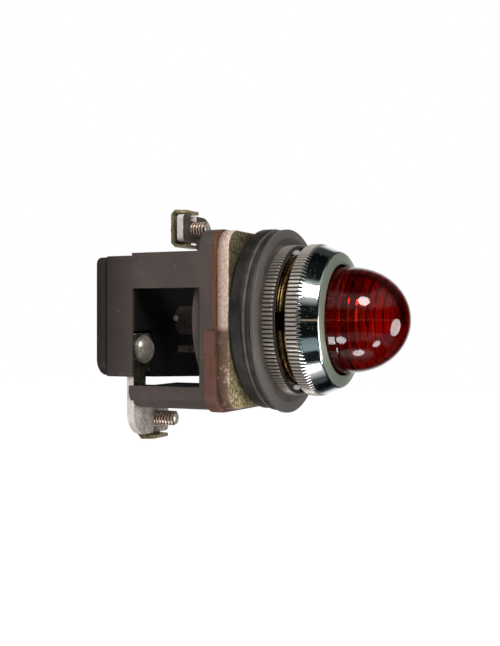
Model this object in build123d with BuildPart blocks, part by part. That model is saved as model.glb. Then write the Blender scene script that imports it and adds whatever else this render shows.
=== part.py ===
from build123d import *
from math import asin, cos, pi, sin, sqrt
import os

# Panel pilot light for a 30.5 mm panel hole, in millimetres.
# The light looks towards -Y and +Z is up. The origin lies on the axis of the
# threaded bushing, in the plane where the panel's rear face seats on the gasket.
# Pieces in front of the panel have negative y, pieces behind it positive y.
# The rear half of the light is the same after half a turn about its axis, so each
# terminal, arm and screw is described once, for the near side (-X).

# Clearances
THREAD_CLEARANCE = 0.08        # radial, nut and bezel on the bushing's thread
SCREW_CLEARANCE = 0.05         # radial, screws in their tapped holes
LOOSE_CLEARANCE = 0.45         # radial, loose rings, lens and saddles
SEAT_CLEARANCE = 0.05          # between fixed pieces that drop into each other

# Mounting bushing: square flange and threaded tube, one die casting
BUSHING_R = 15.0
BUSHING_BORE_R = 12.0
BUSHING_FRONT = 13.5           # reach of the tube in front of the panel's rear face
FLANGE_IN_X = 1.0              # the cage stands this far out past the flange, each side
FLANGE_IN_Z = 0.2
FLANGE_T = 2.7
FLANGE_CORNER_R = 4.7
FLANGE_EDGE_R = 0.35
KEY_W = 4.0                    # keyway along the tube, on the near side
KEY_DEPTH = 1.2
KEY_LEVEL = -0.3

# Rings on the bushing, from the flange to the nut
RING_R = 21.05
REAR_GASKET_T = 3.5
REAR_GASKET_CHAMFER = 0.9
REAR_GASKET_LIFT = 0.3         # the loose rings sit a little off centre
THIN_WASHER_T = 0.8
THIN_WASHER_PROUD = 0.15       # how far each ring's rim stands outside the rear gasket's
THIN_GASKET_T = 1.35
THIN_GASKET_PROUD = 0.05
FRONT_WASHER_T = 1.05
FRONT_WASHER_PROUD = 0.35
FRONT_WASHER_BEVEL_W = 2.0
FRONT_WASHER_BEVEL_H = 0.25
FRONT_WASHER_SAG = 0.25

# Ring nut
NUT_R = 17.5
NUT_T = 2.95
NUT_CHAMFER = 0.7
NUT_TEETH = 112
KNURL_DEPTH = 0.35

# Bezel
BEZEL_R = 17.5
BEZEL_RIM_W = 2.5
BEZEL_FRONT_R = 15.3
BEZEL_LENGTH = 7.6
BEZEL_HOLE_R = 12.7
BEZEL_LIP_T = 1.35
BEZEL_TEETH = 96
BEZEL_CHAMFER = 0.3

# Lens and its gasket
LENS_R = 12.17
LENS_STRAIGHT = 2.0            # cylinder in front of the bezel
LENS_DOME = 13.2               # height of the dome beyond the cylinder
LENS_WALL = 2.0
LENS_FLANGE_T = 0.8
LENS_SHOULDER = 0.2            # step between the cylinder and the dome
LENS_RINGS = 6                 # prism rings moulded inside the dome
LENS_RING_H = 0.5
ELLIPSE_PULL = 0.5523          # makes a cubic curve follow a quarter ellipse
LENS_GASKET_T = 0.6

# Fibre insulator between flange and cage
FIBRE_T = 0.95
FIBRE_PAD_T = 1.7              # extra thickness of the lower half
FIBRE_PAD_TOP = -2.5
FIBRE_OVERHANG = 0.5           # the lower half stands proud of the cage
FIBRE_HOLE_R = 9.4

# Cage: front plate, round boss and four arms, one moulding
CAGE_W = 42.0
CAGE_H = 40.4
CAGE_CORNER_R = 4.5
CAGE_PLATE_T = 3.3
CAGE_EDGE_R = 0.5
BOSS_R = 19.8
BOSS_H = 2.2
CAGE_DEPTH = 17.1              # from the plate's back to the rear block
LONG_ARM_TOP = 15.3            # the long arms carry the block
LONG_ARM_BOTTOM = 7.2
LONG_ARM_T = 6.5
FREE_ARM_W = 16.0              # the free arms shield the terminals
FREE_ARM_LOW_H = 5.2           # height of the free arm below, on the near side
FREE_ARM_HIGH_H = 2.5          # and of the one above, on the far side
FREE_ARM_STEP = 2.75           # a free arm's inner part ends earlier
FREE_ARM_LIP_W = 5.5
FREE_ARM_SHIELD_T = 0.9        # thin outer wall that runs past the strip
FREE_ARM_SHIELD_L = 0.65

# Rear block and its cover
BLOCK_T = 7.0
BLOCK_NEAR_TOP = 14.8
BLOCK_NEAR_BOTTOM = 13.0
BLOCK_FLOOR_T = 1.0
BLOCK_EDGE_R = 0.9
COVER_T = 3.0
COVER_INSET = 0.15
COVER_BIG_R = 4.0
COVER_SMALL_R = 1.6
COVER_EDGE_R = 0.9

# Terminal strip, stamped, one on each side of the axis
STRIP_T = 1.8
STRIP_SET_BACK = 0.2           # the strip lies this deep in the block's recess
STRIP_INSET = 1.1              # from the cage's side to the strip's outer edge
STRIP_HEAD_W = 8.1
STRIP_NECK_W = 5.5
STRIP_TOP = 3.2
STRIP_STEP = 12.0
STRIP_FILLET_R = 0.8
PAD_LAP = 0.4                  # the pad begins this far inside the cage's edge
PAD_DROP = 6.5                 # and ends this far outside it
PAD_W = 16.2
PAD_CORNER_R = 5.5
PAD_SMALL_R = 1.2
NOTCH_W = 3.0                  # open notch in the pad's end
NOTCH_DEPTH = 1.4

# Rivet that fixes each strip to the block
RIVET_DOWN = 3.6               # from the strip's top edge
RIVET_HEAD_R = 3.15
RIVET_HEAD_H = 1.8
RIVET_WASHER_R = 3.3
RIVET_WASHER_T = 0.7
RIVET_SHANK_R = 1.5
RIVET_TAIL_R = 2.2
RIVET_TAIL_H = 0.8

# Terminal screws and saddle clamps
TERMINAL_IN = 5.6              # from the pad's inner edge
TERMINAL_UP = 3.5              # from the pad's end
TERMINAL_SCREW_R = 1.75
TERMINAL_HEAD_R = 2.8
TERMINAL_HEAD_H = 1.3
TERMINAL_SHANK = 8.1
SADDLE_T = 0.8
SADDLE_W = 9.4
SADDLE_BEND = 0.3              # the sloping bend starts this far inside the lips
SADDLE_REACH = 3.7             # from the saddle's back to the lips' ends
SADDLE_TAPER = 1.3             # lips narrow towards their ends
SCREW_SLOT_W = 0.9
SCREW_SLOT_DEPTH = 0.8
SCREW_SLOT_TURN = 35.0
UPPER_BACKED_OFF = 1.4         # the upper terminal's screw stands open

# Cage screws and cover screws
CAGE_SCREW_Z = 15.5
CAGE_SCREW_R = 1.4
CAGE_SCREW_HEAD_R = 2.7
CAGE_SCREW_HEAD_H = 1.7
CAGE_SCREW_GRIP = 2.2          # thread held in the flange
COVER_SCREW_INSET = 3.5        # from the block's side
COVER_SCREW_DROP = 3.8         # from the block's far-reaching corner
COVER_SCREW_R = 1.4
COVER_SCREW_HEAD_R = 2.4
COVER_SCREW_HEAD_H = 1.5
COVER_SCREW_SUNK = 0.3
COVER_SCREW_GRIP = 8.0         # thread held in the long arm

# Lamp and its socket
LAMP_BASE_R = 4.5
LAMP_BASE_L = 9.4
LAMP_GLASS_R = 5.1
LAMP_GLASS_L = 19.5
LAMP_PIN_R = 0.85
LAMP_PIN_REACH = 0.9
LAMP_PIN_SET_BACK = 2.2        # from the base's front edge to the pins
LAMP_TIP_R = 1.7
LAMP_TIP_H = 0.9
SHELL_CLEARANCE = 0.15
SHELL_T = 0.5
SHELL_L = 15.5
SHELL_SLOT_W = 2.1
SHELL_SLOT_L = 5.0
SHELL_SLOT_SHIFT = 1.5
CUP_T = 1.0
CUP_DEPTH = 9.3                # from the plate's front to the cup's floor
CUP_FLOOR_T = 2.0
CUP_FLANGE_R = 8.9
CUP_FLANGE_T = 0.9
NOSE_R = 3.45
NOSE_L = 8.5
NOSE_CHAMFER = 0.8
PLUNGER_R = 1.5
PLUNGER_L = 6.5
PLUNGER_CLEARANCE = 0.1
SPRING_WIRE_R = 0.2
SPRING_TURNS = 5
NOSE_END_T = 2.9
CONTACT_PIN_R = 0.9
CONTACT_RIVET_R = 0.65         # set into the nose's near side
CONTACT_RIVET_PROUD = 0.25
CONTACT_RIVET_IN = 1.1         # from the nose's end
CONTACT_RIVET_Z = 0.45
STRAP_T = 0.6
STRAP_X = -0.5
STRAP_FOOT_W = 5.0
STRAP_H = 1.7
STRAP_TOP = -6.2
STRAP_GAP = 0.6                # between the strap and the socket's cup
STRAP_LOW_H = 2.4
STRAP_STEP_BACK = 0.8
STRAP_SLANT = 1.4

# Series resistor in the block
RESISTOR_R = 1.5
RESISTOR_L = 22.0
RESISTOR_CAP_R = 1.7
RESISTOR_CAP_L = 2.4
TROUGH_HALF_H = 2.6
TAB_T = 0.5
TAB_W = 4.4

# Places across the axis, for the near side
strip_out = CAGE_W / 2 - STRIP_INSET
pad_top = CAGE_H / 2 - PAD_LAP
pad_bottom = CAGE_H / 2 + PAD_DROP
strip_head_in = strip_out - STRIP_HEAD_W
strip_neck_in = strip_out - STRIP_NECK_W
pad_in = strip_out - PAD_W
rivet_x = strip_out - STRIP_HEAD_W / 2
rivet_z = STRIP_TOP + RIVET_DOWN
terminal_x = pad_in + TERMINAL_IN
terminal_z = pad_bottom - TERMINAL_UP
cover_screw_x = CAGE_W / 2 - COVER_SCREW_INSET
cover_screw_z = BLOCK_NEAR_TOP - COVER_SCREW_DROP

# Stations along the axis, back from the panel seat and forward from it
y_flange = REAR_GASKET_T
y_fibre = y_flange + FLANGE_T
y_plate = y_fibre + FIBRE_T
y_plate_back = y_plate + CAGE_PLATE_T
y_boss = y_plate_back + BOSS_H
y_block = y_plate_back + CAGE_DEPTH
y_strip = y_block + STRIP_SET_BACK
y_strip_back = y_strip + STRIP_T
y_hollow = y_strip_back + BLOCK_FLOOR_T
y_cover = y_block + BLOCK_T
y_back = y_cover + COVER_T
y_gasket = -THIN_WASHER_T
y_washer = y_gasket - THIN_GASKET_T
y_nut = y_washer - FRONT_WASHER_T
y_nut_front = y_nut - NUT_T
y_tube_end = -BUSHING_FRONT
y_lens_flange = y_tube_end - LENS_GASKET_T
y_lip = y_lens_flange - LENS_FLANGE_T
y_bezel_front = y_lip - BEZEL_LIP_T
y_bezel = y_bezel_front + BEZEL_LENGTH
y_rim = y_bezel - BEZEL_RIM_W
y_dome = y_bezel_front - LENS_STRAIGHT
y_apex = y_dome - LENS_DOME

# Radii that follow from a mate
ring_bore_r = BUSHING_R + LOOSE_CLEARANCE + max(REAR_GASKET_LIFT, FRONT_WASHER_SAG) / 2
front_washer_r = RING_R + FRONT_WASHER_PROUD
thread_bore_r = BUSHING_R + THREAD_CLEARANCE
lens_flange_r = BUSHING_R - LOOSE_CLEARANCE
shell_bore_r = LAMP_BASE_R + SHELL_CLEARANCE
shell_r = shell_bore_r + SHELL_T
cup_bore_r = shell_r + SEAT_CLEARANCE
cup_r = cup_bore_r + CUP_T
y_cup_floor = y_plate + CUP_DEPTH
y_nose = y_cup_floor + CUP_FLOOR_T
y_nose_end = y_nose + NOSE_L

NEAR = -1
FAR = 1

os.makedirs("parts", exist_ok=True)


def across(y, side=NEAR):
    """Plane across the axis at y: local x points out on that side, extrusion runs to +Y."""
    return Plane(origin=(0, y, 0), x_dir=(side, 0, 0), z_dir=(0, 1, 0))


def upright(x):
    """Plane along the axis: local x is +Y, local y is +Z, extrusion runs to +X."""
    return Plane(origin=(x, 0, 0), x_dir=(0, 1, 0), z_dir=(1, 0, 0))


def notch(radius, teeth):
    """Corners of one V notch of a knurl, its mouth a little wider than the rim leaves."""
    mouth = 0.02
    half = pi * radius / teeth * 0.92 * (1 + mouth / KNURL_DEPTH)
    return (mouth, half), (mouth, -half), (-KNURL_DEPTH, 0)


def keep(part, name):
    """Label one finished piece and write its file."""
    part.label = name
    export_step(part, f"parts/{name}.step")


# Mounting bushing: square flange with rounded corners and a threaded tube in
# front, with a keyway along its near side and two tapped holes in the back.
with BuildPart() as mounting_bushing:
    with BuildSketch(across(y_flange)):
        RectangleRounded(CAGE_W - 2 * FLANGE_IN_X, CAGE_H - 2 * FLANGE_IN_Z, FLANGE_CORNER_R)
    extrude(amount=FLANGE_T)
    fillet(mounting_bushing.edges().group_by(Axis.Y)[0], FLANGE_EDGE_R)
    with BuildSketch(across(y_tube_end)):
        Circle(BUSHING_R)
    extrude(amount=BUSHING_FRONT + y_flange)
    chamfer(mounting_bushing.edges().group_by(Axis.Y)[0], 0.4)
    with BuildSketch(across(y_tube_end)):
        Circle(BUSHING_BORE_R)
    extrude(amount=BUSHING_FRONT + y_fibre, mode=Mode.SUBTRACT)
    with BuildSketch(across(y_tube_end)):
        with Locations((BUSHING_R, KEY_LEVEL)):
            Rectangle(2 * KEY_DEPTH, KEY_W)
    extrude(amount=BUSHING_FRONT + y_flange, mode=Mode.SUBTRACT)
    with BuildSketch(across(y_fibre - CAGE_SCREW_GRIP)):
        with Locations((0, CAGE_SCREW_Z), (0, -CAGE_SCREW_Z)):
            Circle(CAGE_SCREW_R + SCREW_CLEARANCE)
    extrude(amount=CAGE_SCREW_GRIP, mode=Mode.SUBTRACT)
keep(mounting_bushing.part, "mounting_bushing")

# Rear gasket: thick turned ring behind the panel, bevelled towards the flange.
with BuildPart() as rear_gasket:
    with BuildSketch(Plane(origin=(0, 0, REAR_GASKET_LIFT), x_dir=(-1, 0, 0), z_dir=(0, 1, 0))):
        Circle(RING_R)
    extrude(amount=REAR_GASKET_T)
    chamfer(rear_gasket.edges().group_by(Axis.Y)[-1], REAR_GASKET_CHAMFER)
    chamfer(rear_gasket.edges().group_by(Axis.Y)[0], 0.25)
    with BuildSketch(across(0)):
        Circle(ring_bore_r)
    extrude(amount=REAR_GASKET_T, mode=Mode.SUBTRACT)
keep(rear_gasket.part, "rear_gasket")

# Two thin rings in front of the panel.
with BuildPart() as thin_washer:
    with BuildSketch(across(y_gasket)):
        Circle(RING_R + THIN_WASHER_PROUD)
    extrude(amount=THIN_WASHER_T)
    chamfer(thin_washer.edges(), THIN_WASHER_T * 0.25)
    with BuildSketch(across(y_gasket)):
        Circle(ring_bore_r)
    extrude(amount=THIN_WASHER_T, mode=Mode.SUBTRACT)
keep(thin_washer.part, "thin_washer")

with BuildPart() as thin_gasket:
    with BuildSketch(across(y_washer)):
        Circle(RING_R + THIN_GASKET_PROUD)
    extrude(amount=THIN_GASKET_T)
    chamfer(thin_gasket.edges(), THIN_GASKET_T * 0.2)
    with BuildSketch(across(y_washer)):
        Circle(ring_bore_r)
    extrude(amount=THIN_GASKET_T, mode=Mode.SUBTRACT)
keep(thin_gasket.part, "thin_gasket")

# Front washer under the nut, with a shallow bevel outside; it sags a little.
with BuildPart() as front_washer:
    with BuildSketch(Plane(origin=(0, 0, -FRONT_WASHER_SAG), x_dir=(1, 0, 0), z_dir=(0, 0, 1))):
        with BuildLine():
            Polyline(
                (0, y_nut),
                (front_washer_r - FRONT_WASHER_BEVEL_W, y_nut),
                (front_washer_r, y_nut + FRONT_WASHER_BEVEL_H),
                (front_washer_r, y_washer),
                (0, y_washer),
                close=True,
            )
        make_face()
    revolve(axis=Axis((0, 0, -FRONT_WASHER_SAG), (0, 1, 0)))
    with BuildSketch(across(y_nut)):
        Circle(ring_bore_r)
    extrude(amount=FRONT_WASHER_T, mode=Mode.SUBTRACT)
keep(front_washer.part, "front_washer")

# Ring nut with a straight knurl and a chamfered front.
with BuildPart() as ring_nut:
    with BuildSketch(Plane.XY):
        with BuildLine():
            Polyline(
                (thread_bore_r, y_nut),
                (NUT_R, y_nut),
                (NUT_R, y_nut_front + NUT_CHAMFER),
                (NUT_R - NUT_CHAMFER, y_nut_front),
                (thread_bore_r + 0.3, y_nut_front),
                (thread_bore_r, y_nut_front + 0.3),
                close=True,
            )
        make_face()
    revolve(axis=Axis.Y)
    with BuildSketch(across(y_nut_front)):
        with PolarLocations(NUT_R, NUT_TEETH):
            Polygon(*notch(NUT_R, NUT_TEETH), align=None)
    extrude(amount=NUT_T, mode=Mode.SUBTRACT)
keep(ring_nut.part, "ring_nut")

# Bezel: knurled rim, cone, flat front and a lip that holds the lens's flange.
# The notches run out on the cone, which leaves pointed teeth.
cone_slope = (BEZEL_R - BEZEL_FRONT_R) / (y_rim - y_bezel_front)
knurl_run = KNURL_DEPTH / cone_slope
with BuildPart() as bezel:
    with BuildSketch(Plane.XY):
        with BuildLine():
            Polyline(
                (thread_bore_r, y_bezel),
                (BEZEL_R, y_bezel),
                (BEZEL_R, y_rim),
                (BEZEL_FRONT_R, y_bezel_front),
                (BEZEL_HOLE_R, y_bezel_front),
                (BEZEL_HOLE_R, y_lip),
                (thread_bore_r, y_lip),
                close=True,
            )
        make_face()
    revolve(axis=Axis.Y)
    chamfer(bezel.edges().group_by(Axis.Y)[0].sort_by(SortBy.LENGTH)[-1], BEZEL_CHAMFER)
    with BuildSketch(across(y_rim - knurl_run - 0.05)):
        with PolarLocations(BEZEL_R, BEZEL_TEETH):
            Polygon(*notch(BEZEL_R, BEZEL_TEETH), align=None)
    extrude(amount=BEZEL_RIM_W + knurl_run + 0.05, mode=Mode.SUBTRACT)
keep(bezel.part, "bezel")

# Lens: flange, cylinder, low shoulder and elliptical dome, hollow, with prism
# rings stepped into the inside of the dome.
inner_r = LENS_R - LENS_WALL
inner_h = LENS_DOME - LENS_WALL
steps = [k / (LENS_RINGS + 0.6) for k in range(LENS_RINGS + 1)]
prism = []
for low, high in zip(steps[:-1], steps[1:]):
    prism.append((inner_r * sqrt(1 - low**2), y_dome - low * inner_h))
    prism.append((inner_r * sqrt(1 - high**2) + LENS_RING_H / 2, y_dome - high * inner_h + 0.15))
last_r = inner_r * sqrt(1 - steps[-1] ** 2)
dome_r = LENS_R - LENS_SHOULDER
with BuildPart() as lens:
    with BuildSketch(Plane.XY):
        with BuildLine():
            Polyline(
                (inner_r, y_lens_flange),
                (lens_flange_r, y_lens_flange),
                (lens_flange_r, y_lip),
                (LENS_R, y_lip),
                (LENS_R, y_dome + LENS_SHOULDER),
                (dome_r, y_dome),
            )
            Bezier(
                (dome_r, y_dome),
                (dome_r, y_dome - ELLIPSE_PULL * LENS_DOME),
                (ELLIPSE_PULL * dome_r, y_apex),
                (0, y_apex),
            )
            Polyline(
                (0, y_apex),
                (0, y_apex + LENS_WALL),
                (last_r, y_apex + LENS_WALL),
                *reversed(prism),
                (inner_r, y_lens_flange),
            )
        make_face()
    revolve(axis=Axis.Y)
keep(lens.part, "lens")

with BuildPart() as lens_gasket:
    with BuildSketch(across(y_lens_flange)):
        Circle(lens_flange_r - 0.2)
        Circle(BUSHING_BORE_R + 0.2, mode=Mode.SUBTRACT)
    extrude(amount=LENS_GASKET_T)
keep(lens_gasket.part, "lens_gasket")

# Fibre insulator: full sheet, thicker over its lower half.
with BuildPart() as fibre_insulator:
    with BuildSketch(across(y_fibre)):
        RectangleRounded(CAGE_W, CAGE_H, CAGE_CORNER_R)
    extrude(amount=FIBRE_T)
    with BuildSketch(across(y_fibre)):
        RectangleRounded(
            CAGE_W + 2 * FIBRE_OVERHANG, CAGE_H + 2 * FIBRE_OVERHANG, CAGE_CORNER_R + FIBRE_OVERHANG
        )
        with Locations((0, FIBRE_PAD_TOP + CAGE_H)):
            Rectangle(2 * CAGE_W, 2 * CAGE_H, mode=Mode.SUBTRACT)
    extrude(amount=FIBRE_T + FIBRE_PAD_T)
    with BuildSketch(across(y_fibre)):
        Circle(FIBRE_HOLE_R)
        with Locations((0, CAGE_SCREW_Z), (0, -CAGE_SCREW_Z)):
            Circle(CAGE_SCREW_R + SCREW_CLEARANCE)
    extrude(amount=FIBRE_T + FIBRE_PAD_T, mode=Mode.SUBTRACT)
keep(fibre_insulator.part, "fibre_insulator")

# Cage: front plate with a round boss behind it. On each side one long arm carries
# the rear block and one free arm shields the terminal.
y_arm = y_plate_back - CAGE_EDGE_R
free_arms = ((NEAR, FREE_ARM_LOW_H), (FAR, FREE_ARM_HIGH_H))
with BuildPart() as cage:
    with BuildSketch(across(y_plate)):
        RectangleRounded(CAGE_W, CAGE_H, CAGE_CORNER_R)
    extrude(amount=CAGE_PLATE_T)
    fillet(cage.edges().group_by(Axis.Y)[-1], CAGE_EDGE_R)
    with BuildSketch(across(y_arm)):
        Circle(BOSS_R)
    extrude(amount=BOSS_H + CAGE_EDGE_R)
    for side, height in free_arms:
        with BuildSketch(across(y_arm, side)):
            with Locations(((CAGE_W - LONG_ARM_T) / 2, (LONG_ARM_TOP + LONG_ARM_BOTTOM) / 2)):
                Rectangle(LONG_ARM_T, LONG_ARM_TOP - LONG_ARM_BOTTOM)
        extrude(amount=CAGE_DEPTH + CAGE_EDGE_R)
        with BuildSketch(across(y_arm, side)):
            RectangleRounded(CAGE_W, CAGE_H, CAGE_CORNER_R)
            with Locations(((CAGE_W - FREE_ARM_W) / 2, (height - CAGE_H) / 2)):
                Rectangle(FREE_ARM_W, height, mode=Mode.INTERSECT)
        extrude(amount=CAGE_DEPTH + CAGE_EDGE_R - FREE_ARM_STEP)
        with BuildSketch(across(y_block - FREE_ARM_STEP, side)):
            RectangleRounded(CAGE_W, CAGE_H, CAGE_CORNER_R)
            with Locations(((CAGE_W - FREE_ARM_LIP_W) / 2, (height - CAGE_H) / 2)):
                Rectangle(FREE_ARM_LIP_W, height, mode=Mode.INTERSECT)
        extrude(amount=FREE_ARM_STEP + STRIP_SET_BACK)
        with BuildSketch(across(y_strip, side)):
            RectangleRounded(CAGE_W, CAGE_H, CAGE_CORNER_R)
            with Locations(((CAGE_W - FREE_ARM_SHIELD_T) / 2, (height - CAGE_H) / 2)):
                Rectangle(FREE_ARM_SHIELD_T, height, mode=Mode.INTERSECT)
        extrude(amount=FREE_ARM_SHIELD_L)
    with BuildSketch(across(y_plate)):
        Circle(cup_r + SEAT_CLEARANCE)
        with Locations((0, CAGE_SCREW_Z), (0, -CAGE_SCREW_Z)):
            Circle(CAGE_SCREW_R + SCREW_CLEARANCE)
    extrude(amount=CAGE_PLATE_T + BOSS_H, mode=Mode.SUBTRACT)
    # Rebate for the insulator's thick half
    with BuildSketch(across(y_plate)):
        with Locations((0, FIBRE_PAD_TOP - CAGE_H)):
            Rectangle(2 * CAGE_W, 2 * CAGE_H)
    extrude(amount=FIBRE_PAD_T, mode=Mode.SUBTRACT)
    # Tapped holes for the cover screws, in the ends of the long arms
    for side in (NEAR, FAR):
        with BuildSketch(across(y_block - COVER_SCREW_GRIP - 0.5, side)):
            with Locations((cover_screw_x, cover_screw_z)):
                Circle(COVER_SCREW_R + SCREW_CLEARANCE)
        extrude(amount=COVER_SCREW_GRIP + 0.5, mode=Mode.SUBTRACT)
keep(cage.part, "cage")


def block_corners(inset):
    """Corners of block and cover: on each side one of them reaches further out."""
    half_w = CAGE_W / 2 - inset
    far_reach = BLOCK_NEAR_TOP - inset
    short_reach = BLOCK_NEAR_BOTTOM - inset
    return (half_w, far_reach), (-half_w, short_reach), (-half_w, -far_reach), (half_w, -short_reach)


# Rear block: a tray behind the cage that holds the resistor, with a recess for
# each terminal strip in its front face.
recess_out = strip_out + SEAT_CLEARANCE * 2
recess_in = strip_head_in - 0.8
recess_top = -STRIP_TOP + 0.7
pocket_in = RESISTOR_L / 2 - RESISTOR_CAP_L - 0.3
pocket_out = rivet_x + RIVET_TAIL_R + 0.5
pocket_low = rivet_z + RIVET_TAIL_R + 0.5
with BuildPart() as rear_block:
    with BuildSketch(across(y_block)):
        with BuildLine():
            FilletPolyline(*block_corners(0), radius=BLOCK_EDGE_R, close=True)
        make_face()
    extrude(amount=BLOCK_T)
    with BuildSketch(across(y_hollow)):
        Rectangle(RESISTOR_L + 1.0, 2 * TROUGH_HALF_H)
    extrude(amount=y_cover - y_hollow, mode=Mode.SUBTRACT)
    for side in (NEAR, FAR):
        with BuildSketch(across(y_block, side)):
            with Locations(((recess_out + recess_in) / 2, recess_top - CAGE_H / 2)):
                Rectangle(recess_out - recess_in, CAGE_H)
        extrude(amount=y_strip_back - y_block, mode=Mode.SUBTRACT)
        with BuildSketch(across(y_hollow, side)):
            with Locations(((pocket_in + pocket_out) / 2, (TROUGH_HALF_H - pocket_low) / 2)):
                Rectangle(pocket_out - pocket_in, TROUGH_HALF_H + pocket_low)
        extrude(amount=y_cover - y_hollow, mode=Mode.SUBTRACT)
        with BuildSketch(across(y_strip_back, side)):
            with Locations((rivet_x, -rivet_z)):
                Circle(RIVET_SHANK_R + SEAT_CLEARANCE)
        extrude(amount=BLOCK_FLOOR_T, mode=Mode.SUBTRACT)
        with BuildSketch(across(y_block, side)):
            with Locations((cover_screw_x, cover_screw_z)):
                Circle(COVER_SCREW_R + SCREW_CLEARANCE)
        extrude(amount=BLOCK_T, mode=Mode.SUBTRACT)
keep(rear_block.part, "rear_block")

# Rear cover with counterbored holes for its two screws.
y_cover_seat = y_back - COVER_SCREW_HEAD_H - COVER_SCREW_SUNK
with BuildPart() as rear_cover:
    with BuildSketch(across(y_cover)):
        with BuildLine():
            FilletPolyline(
                *block_corners(COVER_INSET),
                radius=(COVER_SMALL_R, COVER_BIG_R, COVER_SMALL_R, COVER_BIG_R),
                close=True,
            )
        make_face()
    extrude(amount=COVER_T)
    fillet(rear_cover.edges().group_by(Axis.Y)[-1], COVER_EDGE_R)
    for side in (NEAR, FAR):
        with BuildSketch(across(y_cover, side)):
            with Locations((cover_screw_x, cover_screw_z)):
                Circle(COVER_SCREW_R + SCREW_CLEARANCE)
        extrude(amount=COVER_T, mode=Mode.SUBTRACT)
        with BuildSketch(across(y_cover_seat, side)):
            with Locations((cover_screw_x, cover_screw_z)):
                Circle(COVER_SCREW_HEAD_R + 4 * SEAT_CLEARANCE)
        extrude(amount=COVER_T, mode=Mode.SUBTRACT)
keep(rear_cover.part, "rear_cover")


def head_plane(x, y, z):
    """Plane under the head of a screw that faces +Y."""
    return Plane(origin=(x, y, z), x_dir=(-1, 0, 0), z_dir=(0, 1, 0))


# Cage screws through the boss into the flange.
cage_screw_l = y_boss - y_fibre + CAGE_SCREW_GRIP - 0.2
with BuildPart() as cage_screws:
    for level in (CAGE_SCREW_Z, -CAGE_SCREW_Z):
        head = head_plane(0, y_boss, level)
        with BuildSketch(head):
            Circle(CAGE_SCREW_HEAD_R)
        extrude(amount=CAGE_SCREW_HEAD_H, taper=6)
        with BuildSketch(head.offset(-cage_screw_l)):
            Circle(CAGE_SCREW_R)
        extrude(amount=cage_screw_l)
        with BuildSketch(head.offset(CAGE_SCREW_HEAD_H).rotated((0, 0, SCREW_SLOT_TURN))):
            Rectangle(3 * CAGE_SCREW_HEAD_R, SCREW_SLOT_W)
        extrude(amount=-SCREW_SLOT_DEPTH, mode=Mode.SUBTRACT)
keep(cage_screws.part, "cage_screws")

# Cover screws through cover and block into the long arms.
cover_screw_l = y_cover_seat - y_block + COVER_SCREW_GRIP
with BuildPart() as cover_screws:
    for side in (NEAR, FAR):
        head = head_plane(side * cover_screw_x, y_cover_seat, -side * cover_screw_z)
        with BuildSketch(head):
            Circle(COVER_SCREW_HEAD_R)
        extrude(amount=COVER_SCREW_HEAD_H, taper=6)
        with BuildSketch(head.offset(-cover_screw_l)):
            Circle(COVER_SCREW_R)
        extrude(amount=cover_screw_l)
        with BuildSketch(head.offset(COVER_SCREW_HEAD_H).rotated((0, 0, -SCREW_SLOT_TURN))):
            Rectangle(3 * COVER_SCREW_HEAD_R, SCREW_SLOT_W)
        extrude(amount=-SCREW_SLOT_DEPTH, mode=Mode.SUBTRACT)
keep(cover_screws.part, "cover_screws")

# Terminal strips: riveted head, neck and tapped pad with a notch in its end.
strip_corners = (
    (strip_out, -STRIP_TOP),
    (strip_head_in, -STRIP_TOP),
    (strip_head_in, -STRIP_STEP),
    (strip_neck_in, -STRIP_STEP),
    (strip_neck_in, -pad_top),
    (pad_in, -pad_top),
    (pad_in, -pad_bottom),
    (strip_out, -pad_bottom),
)
strip_radii = (STRIP_FILLET_R,) * 5 + (PAD_SMALL_R, PAD_SMALL_R, PAD_CORNER_R)
for side, name in ((NEAR, "terminal_lower"), (FAR, "terminal_upper")):
    with BuildPart() as terminal:
        with BuildSketch(across(y_strip, side)):
            with BuildLine():
                FilletPolyline(*strip_corners, radius=strip_radii, close=True)
            make_face()
            with Locations((terminal_x, -terminal_z)):
                Circle(TERMINAL_SCREW_R + SCREW_CLEARANCE, mode=Mode.SUBTRACT)
            with Locations((rivet_x, -rivet_z)):
                Circle(RIVET_SHANK_R + SEAT_CLEARANCE, mode=Mode.SUBTRACT)
            with Locations((terminal_x, -pad_bottom)):
                Rectangle(NOTCH_W, 2 * NOTCH_DEPTH, mode=Mode.SUBTRACT)
        extrude(amount=STRIP_T)
    keep(terminal.part, name)

# Rivets with washers: domed heads in front, flat tails in the block's hollow.
y_rivet = y_strip - RIVET_WASHER_T
tab_top = y_hollow + TAB_T
dome_r = (RIVET_HEAD_R**2 + RIVET_HEAD_H**2) / (2 * RIVET_HEAD_H)
for side, name in ((NEAR, "rivet_lower"), (FAR, "rivet_upper")):
    rivet_axis = Axis((side * rivet_x, 0, side * rivet_z), (0, 1, 0))
    with BuildPart() as rivet:
        with BuildSketch(Plane(origin=rivet_axis.position, x_dir=(1, 0, 0), z_dir=(0, 0, 1))):
            with BuildLine():
                RadiusArc((0, y_rivet - RIVET_HEAD_H), (RIVET_HEAD_R, y_rivet), -dome_r)
                Polyline(
                    (RIVET_HEAD_R, y_rivet),
                    (RIVET_SHANK_R, y_rivet),
                    (RIVET_SHANK_R, tab_top),
                    (RIVET_TAIL_R, tab_top),
                    (RIVET_TAIL_R, tab_top + RIVET_TAIL_H),
                    (0, tab_top + RIVET_TAIL_H),
                    (0, y_rivet - RIVET_HEAD_H),
                )
            make_face()
        revolve(axis=rivet_axis)
    keep(rivet.part, name)

with BuildPart() as rivet_washers:
    for side in (NEAR, FAR):
        with BuildSketch(across(y_rivet, side)):
            with Locations((rivet_x, -rivet_z)):
                Circle(RIVET_WASHER_R)
                Circle(RIVET_SHANK_R + SEAT_CLEARANCE, mode=Mode.SUBTRACT)
        extrude(amount=RIVET_WASHER_T)
keep(rivet_washers.part, "rivet_washers")

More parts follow.
